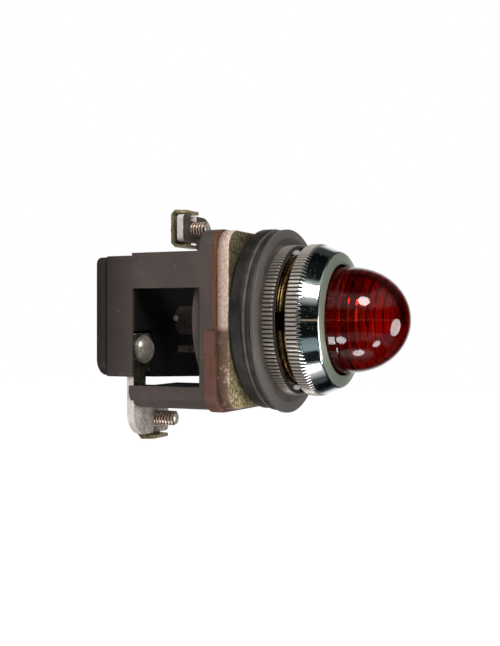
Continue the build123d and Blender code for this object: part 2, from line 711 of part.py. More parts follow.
# Saddle clamps behind the pads: flat middle, two sloping bends and two lips that
# reach forward past the pad and narrow towards their ends.
lip_in = max(pad_bottom - terminal_z, terminal_z - pad_top) + LOOSE_CLEARANCE
lip_out = lip_in + SADDLE_T
saddle_half = SADDLE_W / 2
seats = (("lower", NEAR, y_strip_back), ("upper", FAR, y_strip_back + UPPER_BACKED_OFF))
for place, side, y_seat in seats:
    x_middle = side * terminal_x
    z_middle = side * terminal_z
    y_tip = y_seat + SADDLE_T - SADDLE_REACH
    profile = [
        (y_seat, lip_in),
        (y_tip, lip_in),
        (y_tip, lip_out),
        (y_seat - SADDLE_BEND, lip_out),
        (y_seat + SADDLE_T, lip_in - SADDLE_BEND),
    ]
    mirrored = [(y, -v) for y, v in reversed(profile)]
    with BuildPart() as clamp:
        with BuildSketch(Plane(origin=(x_middle, 0, z_middle), x_dir=(0, 1, 0), z_dir=(1, 0, 0))):
            with BuildLine():
                Polyline(*profile, *mirrored, close=True)
            make_face()
        extrude(amount=saddle_half, both=True)
        with BuildSketch(Plane(origin=(x_middle, 0, z_middle), x_dir=(1, 0, 0), z_dir=(0, 0, 1))):
            with BuildLine():
                Polyline(
                    (-saddle_half, y_seat + SADDLE_T),
                    (saddle_half, y_seat + SADDLE_T),
                    (saddle_half, y_seat - SADDLE_T / 2),
                    (saddle_half - SADDLE_TAPER, y_tip),
                    (-saddle_half + SADDLE_TAPER, y_tip),
                    (-saddle_half, y_seat - SADDLE_T / 2),
                    close=True,
                )
            make_face()
        extrude(amount=2 * lip_out, both=True, mode=Mode.INTERSECT)
        with BuildSketch(head_plane(x_middle, y_seat, z_middle)):
            Circle(TERMINAL_SCREW_R + 0.3)
        extrude(amount=SADDLE_T, mode=Mode.SUBTRACT)
    keep(clamp.part, "clamp_" + place)
    head = head_plane(x_middle, y_seat + SADDLE_T, z_middle)
    with BuildPart() as terminal_screw:
        with BuildSketch(head):
            Circle(TERMINAL_HEAD_R)
        extrude(amount=TERMINAL_HEAD_H, taper=5)
        with BuildSketch(head.offset(-TERMINAL_SHANK)):
            Circle(TERMINAL_SCREW_R)
        extrude(amount=TERMINAL_SHANK)
        chamfer(terminal_screw.edges().group_by(Axis.Y)[0], TERMINAL_SCREW_R / 5)
        with BuildSketch(head.offset(TERMINAL_HEAD_H).rotated((0, 0, SCREW_SLOT_TURN))):
            Rectangle(3 * TERMINAL_HEAD_R, SCREW_SLOT_W)
        extrude(amount=-SCREW_SLOT_DEPTH, mode=Mode.SUBTRACT)
    keep(terminal_screw.part, "screw_" + place)

# Lamp socket: a moulded cup in the cage's plate with a long nose behind it.
nose_bore_r = PLUNGER_R + PLUNGER_CLEARANCE
rivet_depth = CONTACT_PIN_R + 3 * SEAT_CLEARANCE
rivet_plane = Plane(
    origin=(-rivet_depth, y_nose_end - CONTACT_RIVET_IN, CONTACT_RIVET_Z), x_dir=(0, 1, 0), z_dir=(-1, 0, 0)
)
with BuildPart() as socket_insulator:
    with BuildSketch(Plane.XY):
        with BuildLine():
            Polyline(
                (cup_bore_r, y_plate - CUP_FLANGE_T),
                (CUP_FLANGE_R, y_plate - CUP_FLANGE_T),
                (CUP_FLANGE_R, y_plate),
                (cup_r, y_plate),
                (cup_r, y_nose),
                (NOSE_R, y_nose),
                (NOSE_R, y_nose_end),
                (CONTACT_PIN_R + SEAT_CLEARANCE, y_nose_end),
                (CONTACT_PIN_R + SEAT_CLEARANCE, y_nose_end - NOSE_END_T),
                (nose_bore_r, y_nose_end - NOSE_END_T),
                (nose_bore_r, y_cup_floor),
                (cup_bore_r, y_cup_floor),
                close=True,
            )
        make_face()
    revolve(axis=Axis.Y)
    chamfer(socket_insulator.edges().group_by(Axis.Y)[-1].sort_by(SortBy.LENGTH)[-1], NOSE_CHAMFER)
    with BuildSketch(rivet_plane):
        Circle(CONTACT_RIVET_R + SEAT_CLEARANCE)
    extrude(amount=NOSE_R, mode=Mode.SUBTRACT)
keep(socket_insulator.part, "socket_insulator")

# Silvered rivet in the nose's near side, by the contact pin.
with BuildPart() as contact_rivet:
    with BuildSketch(rivet_plane):
        Circle(CONTACT_RIVET_R)
    extrude(amount=NOSE_R + CONTACT_RIVET_PROUD - rivet_depth)
    chamfer(contact_rivet.edges().group_by(Axis.X)[0], CONTACT_RIVET_PROUD / 2)
keep(contact_rivet.part, "contact_rivet")

# Bayonet shell with two J slots for the lamp's pins.
y_shell = y_cup_floor - SHELL_L
with BuildPart() as socket_shell:
    with BuildSketch(across(y_shell)):
        Circle(shell_r)
        Circle(shell_bore_r, mode=Mode.SUBTRACT)
    extrude(amount=SHELL_L)
    for side in (NEAR, FAR):
        with BuildSketch(Plane(origin=(0, 0, 0), x_dir=(0, 1, 0), z_dir=(side, 0, 0))):
            with Locations((y_shell + SHELL_SLOT_L / 2, 0)):
                Rectangle(SHELL_SLOT_L, SHELL_SLOT_W)
            with Locations((y_shell + SHELL_SLOT_L - SHELL_SLOT_W / 2, SHELL_SLOT_SHIFT / 2)):
                Rectangle(SHELL_SLOT_W, SHELL_SLOT_W + SHELL_SLOT_SHIFT)
        extrude(amount=2 * shell_r, mode=Mode.SUBTRACT)
keep(socket_shell.part, "socket_shell")

# Lamp: metal base with two pins and a solder tip, and a tubular glass bulb.
y_pin = y_shell + SHELL_SLOT_L - SHELL_SLOT_W / 2
y_base = y_pin - LAMP_PIN_SET_BACK
pin_turn = asin(SHELL_SLOT_SHIFT / (shell_r - SHELL_T / 2))
pin_plane = Plane(origin=(0, y_pin, 0), x_dir=(0, 1, 0), z_dir=(cos(pin_turn), 0, sin(pin_turn)))
y_base_end = y_base + LAMP_BASE_L
with BuildPart() as lamp_base:
    with BuildSketch(across(y_base)):
        Circle(LAMP_BASE_R)
    extrude(amount=LAMP_BASE_L)
    with BuildSketch(across(y_base_end)):
        Circle(LAMP_TIP_R)
    extrude(amount=LAMP_TIP_H)
    with BuildSketch(pin_plane):
        Circle(LAMP_PIN_R)
    extrude(amount=LAMP_BASE_R + LAMP_PIN_REACH, both=True)
keep(lamp_base.part, "lamp_base")

with BuildPart() as lamp_glass:
    with BuildSketch(Plane.XY):
        with BuildLine():
            Polyline(
                (0, y_base),
                (LAMP_BASE_R - 0.3, y_base),
                (LAMP_BASE_R - 0.3, y_shell - 0.4),
                (LAMP_GLASS_R, y_shell - 2.0),
                (LAMP_GLASS_R, y_base - LAMP_GLASS_L + LAMP_GLASS_R),
            )
            CenterArc((0, y_base - LAMP_GLASS_L + LAMP_GLASS_R), LAMP_GLASS_R, 270, 90)
            Line((0, y_base - LAMP_GLASS_L), (0, y_base))
        make_face()
    revolve(axis=Axis.Y)
keep(lamp_glass.part, "lamp_glass")

# Spring-loaded plunger that meets the lamp's tip.
y_plunger = y_base_end + LAMP_TIP_H
y_spring = y_plunger + PLUNGER_L
spring_l = y_nose_end - NOSE_END_T - y_spring
with BuildPart() as contact_plunger:
    with BuildSketch(across(y_plunger)):
        Circle(PLUNGER_R)
    extrude(amount=PLUNGER_L)
keep(contact_plunger.part, "contact_plunger")

coil_r = PLUNGER_R - SPRING_WIRE_R
coil_l = spring_l - 2 * SPRING_WIRE_R - 0.1
with BuildPart() as contact_spring:
    with BuildLine() as coil:
        Helix(
            pitch=coil_l / SPRING_TURNS,
            height=coil_l,
            radius=coil_r,
            center=(0, y_spring + SPRING_WIRE_R + 0.05, 0),
            direction=(0, 1, 0),
        )
    with BuildSketch(coil.line ^ 0):
        Circle(SPRING_WIRE_R)
    sweep(is_frenet=True)
keep(contact_spring.part, "contact_spring")

# Silvered pin through the nose's end, up to the block's face.
with BuildPart() as contact_pin:
    with BuildSketch(across(y_nose_end - NOSE_END_T)):
        Circle(CONTACT_PIN_R)
    extrude(amount=y_block - y_nose_end + NOSE_END_T)
keep(contact_pin.part, "contact_pin")

# Strap from the boss to the block beneath the nose.
strap_low = -(cup_r + STRAP_GAP)
y_step = y_nose + STRAP_STEP_BACK
with BuildPart() as contact_strap:
    with BuildSketch(upright(-STRAP_X)):
        with BuildLine():
            Polyline(
                (y_boss, strap_low),
                (y_step, strap_low),
                (y_step, STRAP_TOP),
                (y_block, STRAP_TOP),
                (y_block, STRAP_TOP - STRAP_H),
                (y_step + STRAP_SLANT, STRAP_TOP - STRAP_H),
                (y_step, strap_low - STRAP_LOW_H),
                (y_boss, strap_low - STRAP_LOW_H),
                close=True,
            )
        make_face()
    extrude(amount=STRAP_T)
    with BuildSketch(across(y_boss)):
        with Locations((STRAP_X - STRAP_FOOT_W / 2, strap_low - STRAP_LOW_H / 2)):
            Rectangle(STRAP_FOOT_W, STRAP_LOW_H)
    extrude(amount=STRAP_T)
keep(contact_strap.part, "contact_strap")

# Series resistor with end caps, on two tabs that the rivets' tails clinch.
y_resistor = tab_top + RESISTOR_CAP_R + SEAT_CLEARANCE
with BuildPart() as series_resistor:
    with BuildSketch(Plane(origin=(0, y_resistor, 0), x_dir=(0, 1, 0), z_dir=(1, 0, 0))):
        Circle(RESISTOR_R)
    extrude(amount=RESISTOR_L / 2, both=True)
    for side in (NEAR, FAR):
        with BuildSketch(
            Plane(origin=(side * RESISTOR_L / 2, y_resistor, 0), x_dir=(0, 1, 0), z_dir=(side, 0, 0))
        ):
            Circle(RESISTOR_CAP_R)
        extrude(amount=-RESISTOR_CAP_L)
keep(series_resistor.part, "series_resistor")

tab_in = RESISTOR_L / 2 - RESISTOR_CAP_L
tab_out = rivet_x + RIVET_TAIL_R
with BuildPart() as resistor_tabs:
    for side in (NEAR, FAR):
        with BuildSketch(across(y_hollow, side)):
            with Locations(((RESISTOR_L - RESISTOR_CAP_L) / 2, -rivet_z / 2)):
                Rectangle(RESISTOR_CAP_L, rivet_z + TAB_W)
            with Locations(((tab_in + tab_out) / 2, -rivet_z)):
                Rectangle(tab_out - tab_in, TAB_W)
            with Locations((rivet_x, -rivet_z)):
                Circle(RIVET_SHANK_R + SEAT_CLEARANCE, mode=Mode.SUBTRACT)
        extrude(amount=TAB_T)
keep(resistor_tabs.part, "resistor_tabs")
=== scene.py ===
import bpy
import bmesh
import numpy as np
from math import cos, pi, radians, sin
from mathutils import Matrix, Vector


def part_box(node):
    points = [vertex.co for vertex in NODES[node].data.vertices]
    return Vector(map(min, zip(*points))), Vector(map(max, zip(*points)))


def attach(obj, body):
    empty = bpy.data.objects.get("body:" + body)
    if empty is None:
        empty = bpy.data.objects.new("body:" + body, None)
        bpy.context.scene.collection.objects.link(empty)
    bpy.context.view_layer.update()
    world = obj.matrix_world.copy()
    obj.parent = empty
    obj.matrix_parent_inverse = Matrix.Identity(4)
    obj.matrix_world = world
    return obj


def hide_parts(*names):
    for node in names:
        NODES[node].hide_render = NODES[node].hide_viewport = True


# Panel pilot light: a red lens in a chromed bezel on a threaded bushing, with a
# moulded cage, screw terminals and a rear block behind the panel.
# +Y runs to the rear along the bushing's axis, -X is the side near the camera.
# Shapes are worked out in millimetres and stored in metres.

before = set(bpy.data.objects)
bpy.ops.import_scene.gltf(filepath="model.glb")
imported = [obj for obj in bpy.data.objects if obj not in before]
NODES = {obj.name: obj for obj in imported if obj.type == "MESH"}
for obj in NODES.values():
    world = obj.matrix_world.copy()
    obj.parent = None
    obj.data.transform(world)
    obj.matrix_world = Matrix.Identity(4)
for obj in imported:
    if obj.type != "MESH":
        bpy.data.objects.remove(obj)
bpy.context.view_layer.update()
scene = bpy.context.scene
MM = 0.001


def span(node):
    """Lowest and highest corners of a CAD node at rest, in millimetres."""
    low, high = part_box(node)
    return np.array(low) / MM, np.array(high) / MM


# Sizes and places in millimetres: first what the frame gives, then what the looks add.
bezel_low, bezel_high = span("bezel")
nut_low, nut_high = span("ring_nut")
lens_low, lens_high = span("lens")
RIM_R, BEZEL_FRONT, BEZEL_REAR = bezel_high[0], bezel_low[1], bezel_high[1]
NUT_R, NUT_FRONT, NUT_REAR = nut_high[0], nut_low[1], nut_high[1]
LENS_FLANGE_R, LENS_APEX, LENS_SEAT = lens_high[0], lens_low[1], lens_high[1]
TUBE_END = span("mounting_bushing")[0][1]
WASHER_R = span("front_washer")[1][0]
CAGE_SIDE = span("cage")[1][0]
BLOCK_TOP = span("rear_block")[1][2]
BLOCK_FRONT, BLOCK_REAR = span("rear_block")[0][1], span("rear_block")[1][1]
CAGE_SCREW_TOP = span("cage_screws")[1][1]

THREAD_R = 15.0
THREAD_PITCH = 1.27
THREAD_DEPTH = 0.75
THREAD_BORE = THREAD_R + 0.08
TUBE_BORE_R = 12.03
TUBE_CHAMFER = 0.6
FLANGE_FRONT = 3.5
KEY_HALF = 2.0
KEY_LEVEL = -0.3
KEY_DEPTH = 1.2

KNURL_DEPTH = 0.42
KNURL_TEETH = 112
KNURL_COLUMNS = 10 * KNURL_TEETH
KNURL_ROW = 0.35
BEZEL_RIM_W = 2.5
RIM_FRONT = BEZEL_REAR - BEZEL_RIM_W
LAND_R = 15.3
LAND_RISE = 0.6
LIP_W = 1.35
HOLE_R = 12.7
HOLE_BEVEL_W, HOLE_BEVEL_H = 0.4, 0.25
NUT_CHAMFER = 0.7
NUT_LEAD_IN = 0.3
RING_BORE = 15.6
WASHER_BEVEL_W = 2.0

LENS_R = 12.17
LENS_WALL = 2.0
LENS_INNER_R = LENS_R - LENS_WALL
LENS_FLANGE_T = 0.8
DOME_Y = -18.25
DOME_H = DOME_Y - LENS_APEX
INNER_H = DOME_H - LENS_WALL
SHOULDER = 0.2
FLUTES = 120
FLUTE_DEPTH = 0.28

SCREW_R = 1.75
SCREW_PITCH = 0.79375
SCREW_DEPTH = 0.30
SLOT_TURN = radians(35)
SLOT_HALF = 0.45
SLOT_DEPTH = 0.8
HEAD_TAPER = 0.105
HEAD_EDGE = 0.12
TERMINAL_HEAD_H = 1.3
CAGE_HEAD_R, CAGE_HEAD_H = 2.7, 1.7
COVER_HEAD_R, COVER_HEAD_H = 2.4, 1.5
BOSS_REAR = CAGE_SCREW_TOP - CAGE_HEAD_H

# Height of the step in the fibre sheet, height up to which the cage's painted shade lies on the
# terminal strips and above which the upper strip's front face gets a painted dark reflection,
# and radius outside which the rims' surface is knurled.
STEP_LEVEL = -1.5
PAINTED_SHADE_TOP = 16.7
KNURL_FROM = RIM_R - 0.79


def smoothed(shell, mesh, crease):
    """Writes a bmesh into a mesh, shaded smooth up to the crease angle in degrees."""
    shell.to_mesh(mesh)
    shell.free()
    mesh.shade_smooth()
    mesh.set_sharp_from_angle(angle=radians(crease))
    return mesh


def grid_mesh(name, points, crease, along=True):
    """Mesh of a grid of points (rows along the profile, columns around), in millimetres.
    Neighbouring rows and columns are joined by quads. The columns close into a ring, and
    so do the rows where along is true. Doubles at poles and seams are merged."""
    rows, cols = points.shape[:2]
    i = np.arange(rows if along else rows - 1)[:, None]
    j = np.arange(cols)[None, :]
    a = i * cols + j
    b = i * cols + (j + 1) % cols
    c = ((i + 1) % rows) * cols + (j + 1) % cols
    d = ((i + 1) % rows) * cols + j
    quads = np.stack([a, b, c, d], axis=-1).reshape(-1, 4)
    mesh = bpy.data.meshes.new(name)
    mesh.vertices.add(rows * cols)
    mesh.vertices.foreach_set("co", (points * MM).astype(np.float32).ravel())
    mesh.loops.add(quads.size)
    mesh.loops.foreach_set("vertex_index", quads.astype(np.int32).ravel())
    mesh.polygons.add(len(quads))
    mesh.polygons.foreach_set("loop_start", np.arange(0, quads.size, 4, dtype=np.int32))
    mesh.update(calc_edges=True)
    mesh.validate()
    shell = bmesh.new()
    shell.from_mesh(mesh)
    bmesh.ops.remove_doubles(shell, verts=shell.verts, dist=1e-7)
    bmesh.ops.dissolve_degenerate(shell, edges=shell.edges, dist=1e-8)
    bmesh.ops.recalc_face_normals(shell, faces=shell.faces)
    return smoothed(shell, mesh, crease)


def place(mesh, body, material, node):
    """Links a finished piece at the origin, on its body, in the place of a CAD node. The
    piece has its mesh's name."""
    piece = bpy.data.objects.new(mesh.name, mesh)
    scene.collection.objects.link(piece)
    mesh.materials.clear()
    mesh.materials.append(material)
    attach(piece, body)
    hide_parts(node)
    return piece


def rounded(corners, radius, steps=5):
    """Closed profile whose corners are quarter-like arcs: each corner becomes a quadratic
    curve between the points at the given distance before and after it."""
    corners = np.asarray(corners, float)
    before = np.roll(corners, 1, axis=0) - corners
    after = np.roll(corners, -1, axis=0) - corners
    radius = np.broadcast_to(radius, len(corners))
    room_before = np.linalg.norm(before, axis=1)
    room_after = np.linalg.norm(after, axis=1)
    r = np.minimum(radius, 0.48 * np.minimum(room_before, room_after))
    start = corners + before / room_before[:, None] * r[:, None]
    end = corners + after / room_after[:, None] * r[:, None]
    t = np.linspace(0, 1, steps)[None, :, None]
    arcs = (1 - t) ** 2 * start[:, None] + 2 * t * (1 - t) * corners[:, None] + t**2 * end[:, None]
    return arcs.reshape(-1, 2)


def split(profile, longest):
    """Closed profile with its long runs cut into equal shorter ones."""
    out = []
    for a, b in zip(profile, np.roll(profile, -1, axis=0)):
        n = max(1, int(np.ceil(np.linalg.norm(b - a) / longest)))
        out.append(a + (b - a) * np.linspace(0, 1, n, endpoint=False)[:, None])
    return np.concatenate(out)


def turned(name, profile, columns, crease, shift, centre=(0.0, 0.0)):
    """Surface of revolution about the axis: each profile point (radius, y) runs round
    as (x, z) = centre + radius * (cos, sin) of the angle; shift(radius, y, angle)
    adds to the radius."""
    angle = np.linspace(0, 2 * pi, columns, endpoint=False)[None, :]
    radius = np.repeat(profile[:, :1], columns, axis=1)
    y = np.repeat(profile[:, 1:2], columns, axis=1)
    radius = radius + shift(radius, y, np.broadcast_to(angle, radius.shape))
    x = centre[0] + radius * np.cos(angle)
    z = centre[1] + radius * np.sin(angle)
    return grid_mesh(name, np.stack([x, y, z], axis=-1), crease)


def linear(code):
    """Linear colour of an sRGB hex code, with alpha 1."""
    c = np.array([int(code[i : i + 2], 16) for i in (1, 3, 5)]) / 255
    return (*np.where(c <= 0.04045, c / 12.92, ((c + 0.055) / 1.055) ** 2.4).tolist(), 1.0)


def add(tree, kind, links=None, values=None, **settings):
    """Adds one shader node. Settings are its properties, values its numbers, vectors and
    hex colours, and links its sources: a socket, or a node for its first live output."""
    made = tree.nodes.new("ShaderNode" + kind)
    for key, value in settings.items():
        setattr(made, key, value)
    for key, value in (values or {}).items():
        made.inputs[key].default_value = linear(value) if isinstance(value, str) else value
    for key, source in (links or {}).items():
        if isinstance(source, bpy.types.Node):
            source = next(socket for socket in source.outputs if socket.enabled)
        tree.links.new(source, made.inputs[key])
    return made


def begin(name):
    """New material: returns it with its node tree and object coordinates in millimetres."""
    made = bpy.data.materials.new(name)
    made.use_nodes = True
    tree = made.node_tree
    tree.nodes.clear()
    coords = add(tree, "TexCoord")
    mm = add(tree, "VectorMath", {0: coords.outputs["Object"]}, {"Scale": 1 / MM}, operation="SCALE")
    return made, tree, mm


def off_axis(tree, mm, centre=(0.0, 0.0)):
    """Distance from the line along y through the given x and z, in millimetres."""
    moved = add(tree, "VectorMath", {0: mm}, {1: (-centre[0], 0.0, -centre[1])})
    flat = add(tree, "VectorMath", {0: moved}, {1: (1.0, 0.0, 1.0)}, operation="MULTIPLY")
    return add(tree, "VectorMath", {0: flat}, operation="LENGTH")


def facing_rear(tree):
    """How far the surface faces the rear: 1 to the rear, 0 sideways and -1 to the front."""
    normal = add(tree, "TexCoord").outputs["Normal"]
    return add(tree, "SeparateXYZ", {0: normal}).outputs[1]


# Sockets of the Map Range node (value, from, to) and of the colour Mix node.
VALUE, LOW, HIGH, TO_LOW, TO_HIGH = range(5)
FACTOR, FIRST, SECOND = 0, 6, 7
COLOUR = {"data_type": "RGBA"}


def mottled(tree, noise, low, high, first, second):
    """Two colours mixed by a noise: the first up to low, the second from high on."""
    share = add(tree, "MapRange", {VALUE: noise}, {LOW: low, HIGH: high})
    return add(tree, "Mix", {FACTOR: share}, {FIRST: first, SECOND: second}, **COLOUR)


def lathe_lines(tree, mm, scale):
    """Noise that stays the same all round the axis, like the lines a lathe leaves."""
    along = add(tree, "SeparateXYZ", {0: mm}).outputs[1]
    lathe = add(tree, "CombineXYZ", {"X": off_axis(tree, mm), "Y": along})
    return add(tree, "TexNoise", {"Vector": lathe}, {"Scale": scale, "Detail": 2.0})


def outer_faces(tree, axes):
    """1 on the outer faces of cage, block and cover, and 0 on the faces inside them, which get the inner
    colours: painted shade on cage, block and cover."""
    across = add(tree, "Math", {0: axes[0]}, operation="ABSOLUTE")
    side = add(tree, "MapRange", {VALUE: across}, {LOW: CAGE_SIDE - 1.3, HIGH: CAGE_SIDE - 0.5})
    above = add(tree, "MapRange", {VALUE: axes[2]}, {LOW: BLOCK_TOP - 0.76, HIGH: BLOCK_TOP - 0.16})
    below = add(tree, "MapRange", {VALUE: axes[2]}, {LOW: -BLOCK_TOP - 0.84, HIGH: -BLOCK_TOP - 1.44})
    front = add(tree, "MapRange", {VALUE: axes[1]}, {LOW: BOSS_REAR + 0.25, HIGH: BOSS_REAR + 0.1})
    back = add(tree, "MapRange", {VALUE: axes[1]}, {LOW: BLOCK_REAR - 0.25, HIGH: BLOCK_REAR + 0.05})
    outside = side
    for part in (above, below, front, back):
        outside = add(tree, "Math", {0: outside, 1: part}, operation="MAXIMUM")
    return outside


def moulded_phenolic(name, inner):
    """Compression-moulded phenolic: grey-brown on its outer faces, with painted shade darkening it towards
    the rear, and the inner colours on the faces inside, which on cage, block and cover are a near-black
    painted shade; lint and dust on its faces, and a black line of painted shade in the gap between block and
    cover."""
    made, tree, mm = begin(name)
    axes = add(tree, "SeparateXYZ", {0: mm}).outputs
    flow = add(tree, "TexNoise", {"Vector": mm}, {"Scale": 0.12, "Detail": 4.0, "Roughness": 0.6})
    grain = add(tree, "TexNoise", {"Vector": mm}, {"Scale": 3.3, "Detail": 3.0})
    dust = add(tree, "TexVoronoi", {"Vector": mm}, {"Scale": 0.42})
    limits = {LOW: 0.06, HIGH: 0.035}
    speck = add(tree, "MapRange", {VALUE: dust.outputs["Distance"]}, limits)
    outside = outer_faces(tree, axes)
    overlay = mottled(tree, flow, 0.3, 0.7, "#4b413e", "#574c48")
    # Painted shade: darker towards the rear, across block and cover.
    limits = {LOW: BLOCK_FRONT - 2.55, HIGH: BLOCK_REAR + 2.45, TO_HIGH: 0.9}
    rear = add(tree, "MapRange", {VALUE: axes[1]}, limits)
    overlay = add(tree, "Mix", {FACTOR: rear, FIRST: overlay}, {SECOND: "#1f1a18"}, **COLOUR)
    overlay = add(tree, "Mix", {FACTOR: speck, FIRST: overlay}, {SECOND: "#8d8379"}, **COLOUR)
    # Painted shade: a black line in the gap between block and cover.
    painted_gap_shade = add(tree, "Math", {0: axes[1]}, {1: BLOCK_REAR, 2: 0.22}, operation="COMPARE")
    overlay = add(tree, "Mix", {FACTOR: painted_gap_shade, FIRST: overlay}, {SECOND: "#070505"}, **COLOUR)
    # The inner colours on the faces inside: on cage, block and cover a near-black painted shade, on the
    # socket insulator its own dusty colour.
    deep = mottled(tree, grain, 0.45, 0.75, *inner)
    colour = add(tree, "Mix", {FACTOR: outside, FIRST: deep, SECOND: overlay}, **COLOUR)
    skin = add(tree, "MapRange", {VALUE: grain}, {LOW: 0.3, HIGH: 0.7, TO_HIGH: 0.14})
    gloss = add(tree, "MapRange", {VALUE: outside}, {TO_LOW: 0.78, TO_HIGH: 0.46})
    rough = add(tree, "Math", {0: skin, 1: gloss})
    bump = add(tree, "Bump", {"Height": grain}, {"Strength": 0.08, "Distance": 0.00005})
    links = {"Base Color": colour, "Roughness": rough, "Normal": bump}
    shader = add(tree, "BsdfPrincipled", links, {"IOR": 1.6, "Specular IOR Level": 0.3})
    add(tree, "OutputMaterial", {0: shader})
    return made


def chromate_zinc():
    """Die-cast zinc with a yellow chromate: pinkish tan on the machined sides, olive with bright grit on the
    cast face, darkened towards its top by painted shade, and brown in patches over its lower half."""
    made, tree, mm = begin("chromate_zinc")
    axes = add(tree, "SeparateXYZ", {0: mm}).outputs
    radius = off_axis(tree, mm)
    flat = add(tree, "Math", {0: facing_rear(tree)}, operation="ABSOLUTE")
    face = add(tree, "MapRange", {VALUE: flat}, {LOW: 0.6, HIGH: 0.9})
    cloud = add(tree, "TexNoise", {"Vector": mm}, {"Scale": 0.35, "Detail": 6.0, "Roughness": 0.7})
    grit = add(tree, "TexNoise", {"Vector": mm}, {"Scale": 1.5, "Detail": 5.0, "Roughness": 0.75})
    machined = mottled(tree, grit, 0.35, 0.65, "#c9a58e", "#fae6d6")
    cast = mottled(tree, grit, 0.40, 0.64, "#3b3118", "#e2d2a0")
    # Painted shade: the cast face darkens towards its top.
    upper = add(tree, "MapRange", {VALUE: axes[2]}, {LOW: -8.0, HIGH: 10.0, TO_HIGH: 0.7})
    cast = add(tree, "Mix", {FACTOR: upper, FIRST: cast}, {SECOND: "#1f190c"}, **COLOUR)
    colour = add(tree, "Mix", {FACTOR: face, FIRST: machined, SECOND: cast}, **COLOUR)
    # Brown in patches over the lower half, mostly on the sides.
    low = add(tree, "MapRange", {VALUE: axes[2]}, {LOW: STEP_LEVEL, HIGH: STEP_LEVEL - 1.1})
    patch = add(tree, "MapRange", {VALUE: cloud}, {LOW: 0.32, HIGH: 0.46})
    lower_brown = add(tree, "Math", {0: low, 1: patch}, operation="MULTIPLY")
    away = add(tree, "MapRange", {VALUE: face}, {TO_LOW: 0.85, TO_HIGH: 0.15})
    lower_brown = add(tree, "Math", {0: lower_brown, 1: away}, operation="MULTIPLY")
    colour = add(tree, "Mix", {FACTOR: lower_brown, FIRST: colour}, {SECOND: "#5d3c22"}, **COLOUR)
    bore = add(tree, "MapRange", {VALUE: radius}, {LOW: TUBE_BORE_R + 0.57, HIGH: TUBE_BORE_R + 0.27})
    colour = add(tree, "Mix", {FACTOR: bore, FIRST: colour}, {SECOND: "#241d12"}, **COLOUR)
    rough = add(tree, "MapRange", {VALUE: grit}, {LOW: 0.3, HIGH: 0.7, TO_LOW: 0.34, TO_HIGH: 0.62})
    bump = add(tree, "Bump", {"Height": grit}, {"Strength": 0.35, "Distance": 0.00012})
    links = {"Base Color": colour, "Roughness": rough, "Normal": bump}
    shader = add(tree, "BsdfPrincipled", links, {"Metallic": 0.25})
    add(tree, "OutputMaterial", {0: shader})
    return made


def chromate_thread():
    """Thread cut in the chromated casting: gold-brown crests rubbed bright, and dark
    grease in the grooves and the keyway."""
    made, tree, mm = begin("chromate_thread")
    radius = off_axis(tree, mm)
    crest = add(tree, "MapRange", {VALUE: radius}, {LOW: THREAD_R - 0.65, HIGH: THREAD_R - 0.05})
    haze = add(tree, "TexNoise", {"Vector": mm}, {"Scale": 0.4, "Detail": 5.0, "Roughness": 0.6})
    rubbed = mottled(tree, haze, 0.35, 0.65, "#6d4a2c", "#b59a5c")
    colour = add(tree, "Mix", {FACTOR: crest, SECOND: rubbed}, {FIRST: "#1a1009"}, **COLOUR)
    rough = add(tree, "MapRange", {VALUE: haze}, {LOW: 0.3, HIGH: 0.7, TO_LOW: 0.20, TO_HIGH: 0.40})
    shader = add(tree, "BsdfPrincipled", {"Base Color": colour, "Roughness": rough}, {"Metallic": 0.8})
    add(tree, "OutputMaterial", {0: shader})
    return made


def turned_rubber(name, dark, light):
    """Neoprene ring cut on a lathe: dull black-grey with fine turned lines 0.25 mm
    apart round the axis, and grey dust rubbed into them."""
    made, tree, mm = begin(name)
    lines = lathe_lines(tree, mm, 4.0)
    worn = add(tree, "TexNoise", {"Vector": mm}, {"Scale": 0.3, "Detail": 5.0})
    shade = add(tree, "Math", {0: lines, 1: worn}, operation="MULTIPLY")
    colour = mottled(tree, shade, 0.14, 0.38, dark, light)
    rough = add(tree, "MapRange", {VALUE: lines}, {LOW: 0.3, HIGH: 0.7, TO_LOW: 0.48, TO_HIGH: 0.62})
    bump = add(tree, "Bump", {"Height": lines}, {"Strength": 0.25, "Distance": 0.00008})
    shader = add(tree, "BsdfPrincipled", {"Base Color": colour, "Roughness": rough, "Normal": bump})
    add(tree, "OutputMaterial", {0: shader})
    return made


def knurled(tree, axes, radius):
    """1 on the knurl of the bezel's rim and of the ring nut, also where its notches cut
    into the cone, and 0 elsewhere."""
    rear = add(tree, "MapRange", {VALUE: axes[1]}, {LOW: RIM_FRONT - 0.1, HIGH: RIM_FRONT})
    limits = {LOW: BEZEL_FRONT, HIGH: RIM_FRONT, TO_LOW: LAND_R, TO_HIGH: RIM_R}
    cone = add(tree, "MapRange", {VALUE: axes[1]}, limits)
    under = add(tree, "Math", {0: cone, 1: radius}, operation="SUBTRACT")
    notch = add(tree, "MapRange", {VALUE: under}, {LOW: 0.023, HIGH: 0.063})
    teeth = add(tree, "Math", {0: rear, 1: notch}, operation="MAXIMUM")
    outer = add(tree, "MapRange", {VALUE: radius}, {LOW: KNURL_FROM, HIGH: KNURL_FROM + 0.15})
    return add(tree, "Math", {0: teeth, 1: outer}, operation="MULTIPLY")


